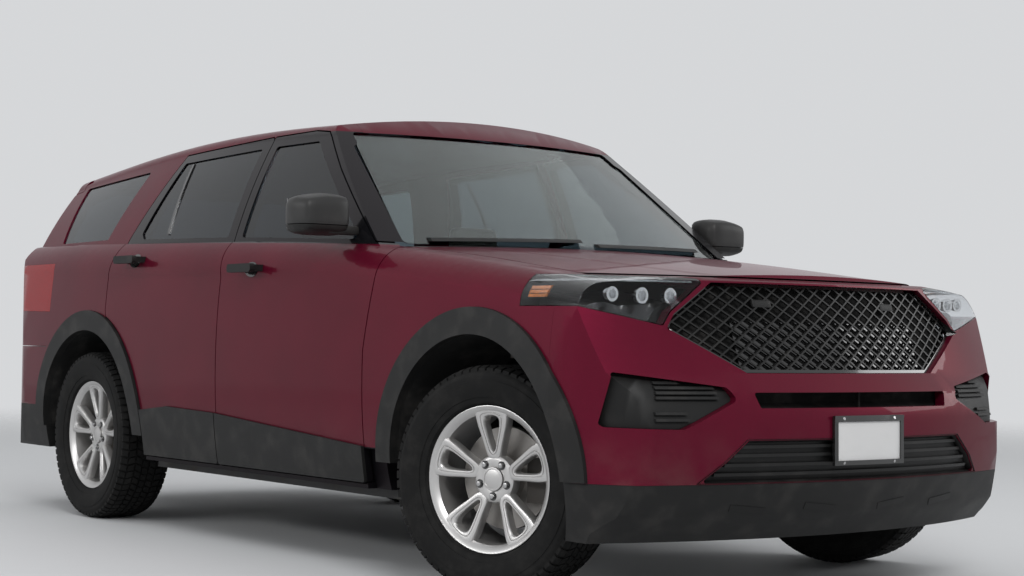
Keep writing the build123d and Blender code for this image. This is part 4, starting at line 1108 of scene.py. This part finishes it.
# tail lamps
tailShape = {
    "starts": (  # where a ray starts, and its direction
        ((0.78, 4.0, 1.12), (0, -1, 0)),
        ((3.0, 2.20, 1.10), (-1, 0, 0)),
        ((0.88, 4.0, 1.08), (0, -1, 0)),
    ),
    "lensWall": 0.003,
}
addLamps("tailLamp", "tail_lamps", tailShape, "redLens")
print("tail lamps made")

# rear: corner panels beside the liftgate, trim bar, blank plate, reflectors, wheelhouse walls
rearShape = {
    "lowerPanel": (
        (-0.606, 2.396, 0.789), (-0.813, 2.347, 0.789), (-0.813, 2.326, 1.037), (-0.648, 2.366, 1.037),
    ),
    "upperPanel": (
        (-0.656, 2.349, 1.186), (-0.792, 2.314, 1.186), (-0.785, 2.299, 1.234), (-0.714, 2.317, 1.234),
    ),
    "panelThick": 0.018,
    "bulge": 0.005,
    "bar": ((0.92, 0.010, 0.042), (0, 0.003, 1.006)),  # size, place
    "recess": {"area": (-0.175, 0.175, 0.790, 0.980), "lift": 0.0030},
    "plate": {"area": (-0.155, 0.155, 0.810, 0.960), "lift": 0.0050},
    "sheetThick": 0.002,
    "reflector": ((0.130, 0.006, 0.026), (-0.66, 0.002, 0.628)),  # size, place
    "wall": {"x": 0.600, "radius": 0.486, "foot": 0.42, "thick": 0.004},
}


def patchPanel(corners, bulge, thick):
    bm = bmesh.new()
    bmesh.ops.create_grid(bm, x_segments=8, y_segments=8, size=0.5)
    a, b, c, d = (Vector(corner) for corner in corners)
    for vert in bm.verts:
        u, v = vert.co.x + 0.5, vert.co.y + 0.5
        point = a.lerp(b, u).lerp(d.lerp(c, u), v)
        vert.co = point + Vector((0, bulge * 4 * u * (1 - u), 0))
    thicken(bm, -thick)
    return bm


for label in ("lowerPanel", "upperPanel"):
    bm = patchPanel(rearShape[label], rearShape["bulge"], rearShape["panelThick"])
    mirrorCopy(bm)
    addPiece(f"rearCorner_{label}", bm, "paint", "body")
gateSurface = surfaceOf("liftgate_shell")
bm = bmesh.new()
addBlock(bm, *rearShape["bar"], cuts=30)
layOn(bm, gateSurface, "rear", 2.3)
addPiece("gateTrimBar", bm, "gloss", "liftgate")
for name, finish, key in (("gatePlateRecess", "trimBlack", "recess"), ("gateBlankPlate", "plate", "plate")):
    bm = plainSheet(rearShape[key]["area"], 14, 6, rearShape["sheetThick"], -rearShape[key]["lift"])
    bmesh.ops.scale(bm, vec=(1, -1, 1), verts=bm.verts)
    layOn(bm, gateSurface, "rear", 2.3)
    addPiece(name, bm, finish, "liftgate")
bm = bmesh.new()
addBlock(bm, *rearShape["reflector"], cuts=10)
mirrorCopy(bm)
layOn(bm, surfaceOf("rear_bumper_cover"), "rear", 2.3)
addPiece("rearReflectors", bm, "redReflector", "body")
wall = rearShape["wall"]
axle = joints["wheel_rear_right_spin"]["pos_m"]
bm = bmesh.new()
place = facing("x", -wall["x"], axle[1], axle[2])
bmesh.ops.create_circle(bm, cap_ends=True, segments=72, radius=wall["radius"], matrix=place)
cutAway(bm, (0, 0, wall["foot"]), (0, 0, -1), clear_outer=True)
bmesh.ops.solidify(bm, geom=bm.faces[:], thickness=wall["thick"])
mirrorCopy(bm)
addPiece("wheelhouseWalls", bm, "linerBlack", "body")
print("rear made")

# handle cups, and the dark openings along the front valance's foot: both are thin black sheets laid on the
# surface, painted shade of these recesses
cupShape = {
    "front_door": (-0.120, 1.112),
    "rear_door": (0.930, 1.172),
    "radii": (0.030, 0.052),
    "inset": 0.010,
    "proud": 0.0012,
    "wall": 0.0008,
}
for end in ("front_door", "rear_door"):
    y, z = cupShape[end]
    for side, sign in sides:
        bm = bmesh.new()
        oval = facing("x", -cupShape["proud"], y, z) @ Matrix.Diagonal((*cupShape["radii"], 1, 1))
        bmesh.ops.create_circle(bm, cap_ends=False, segments=40, radius=1.0, matrix=oval)
        bmesh.ops.contextual_create(bm, geom=bm.edges[:])
        bmesh.ops.inset_region(bm, faces=bm.faces[:], thickness=cupShape["inset"])
        layOn(bm, surfaceOf(f"{end}_shell_right"), "right", -0.95)
        toSide(bm, sign)
        bmesh.ops.solidify(bm, geom=bm.faces[:], thickness=cupShape["wall"])
        addPiece(f"handleCupShade_{end}_{side}", bm, "gloss", f"{end}_{side}")
# black patches on the valance's foot: painted shade inside its openings
valanceShape = {"places": (-0.46, -0.17, 0.17, 0.46), "z": 0.318, "size": (0.135, 0.004, 0.022), "lean": 6}
bm = bmesh.new()
for x in valanceShape["places"]:
    turn = Matrix.Rotation(math.radians(math.copysign(valanceShape["lean"], -x)), 3, "Y")
    addBlock(bm, valanceShape["size"], (x, 0.0005, valanceShape["z"]), turn=turn, cuts=4)
addFront("valanceOpeningShade", bm, surfaceOf("front_valance"), -2.4, "pocketBlack")
print("small trims made")

# floor, backdrop and light
stageLook = {
    "floor": (0.60, 0.61, 0.62, 1.0),
    "floorHalf": 20.0,
    "floorReach": (6.0, 15.0),
    "sky": (0.67, 0.68, 0.695, 1.0),
    "ambient": 0.59,
    "seen": 1.0,
    "lamps": (  # name, place, target, size, watts
        ("keySoftbox", (-4.0, -9.0, 7.0), (-0.3, -0.8, 0.8), (4.0, 2.0), 420.0),
        ("topSoftbox", (0.0, 0.0, 8.0), (0.0, 0.0, 0.8), (15.0, 13.0), 420.0),
        ("sideSoftbox", (-9.5, 1.0, 4.4), (0.0, 0.2, 0.9), (9.0, 1.2), 260.0),
        ("fillSoftbox", (7.5, -5.0, 4.0), (0.0, 0.0, 0.8), (4.0, 3.0), 120.0),
    ),
}


def addStage(look):
    bm = bmesh.new()
    bmesh.ops.create_grid(bm, x_segments=2, y_segments=2, size=look["floorHalf"])
    mesh = meshFrom(bm, "floor")
    floor = bpy.data.objects.new("floor", mesh)
    scene.collection.objects.link(floor)
    finish = Finish("paleFloor")
    shade = finish.mix(finish.noise(1.2, 5.0) * 0.25, look["floor"], tuple(c * 0.9 for c in look["floor"]))
    fade = finish.band(finish.near((0.0, 0.0, 0.0)), look["floorReach"][1], look["floorReach"][0])
    rough = finish.noise(30.0, 3.0) * 0.1 + 0.6
    mesh.materials.append(finish.give(baseColor=shade, roughness=rough, alpha=fade))
    for name, place, target, size, watts in look["lamps"]:
        data = bpy.data.lights.new(name, "AREA")
        data.shape = "RECTANGLE"
        data.size, data.size_y = size
        data.energy = watts
        lamp = bpy.data.objects.new(name, data)
        lamp.location = place
        lamp.rotation_mode = "QUATERNION"
        lamp.rotation_quaternion = (Vector(target) - Vector(place)).to_track_quat("-Z", "Y")
        lamp.visible_glossy = name != "topSoftbox"  # its edge would cut across the roof and the glass
        scene.collection.objects.link(lamp)
    world = bpy.data.worlds.new("studio")
    world.use_nodes = True
    scene.world = world
    tree = world.node_tree
    shader = tree.nodes["Background"]
    path = tree.nodes.new("ShaderNodeLightPath")
    seen = Signal(path.outputs["Is Camera Ray"]) + Signal(path.outputs["Is Glossy Ray"])
    seen = seen + Signal(path.outputs["Is Transmission Ray"])
    seen = seen.maths("MINIMUM", seen, 1.0)
    shader.inputs["Color"].default_value = look["sky"]
    plug(shader.inputs["Strength"], seen * (look["seen"] - look["ambient"]) + look["ambient"])


addStage(stageLook)
scene.view_settings.view_transform = "Standard"
print("stage made")
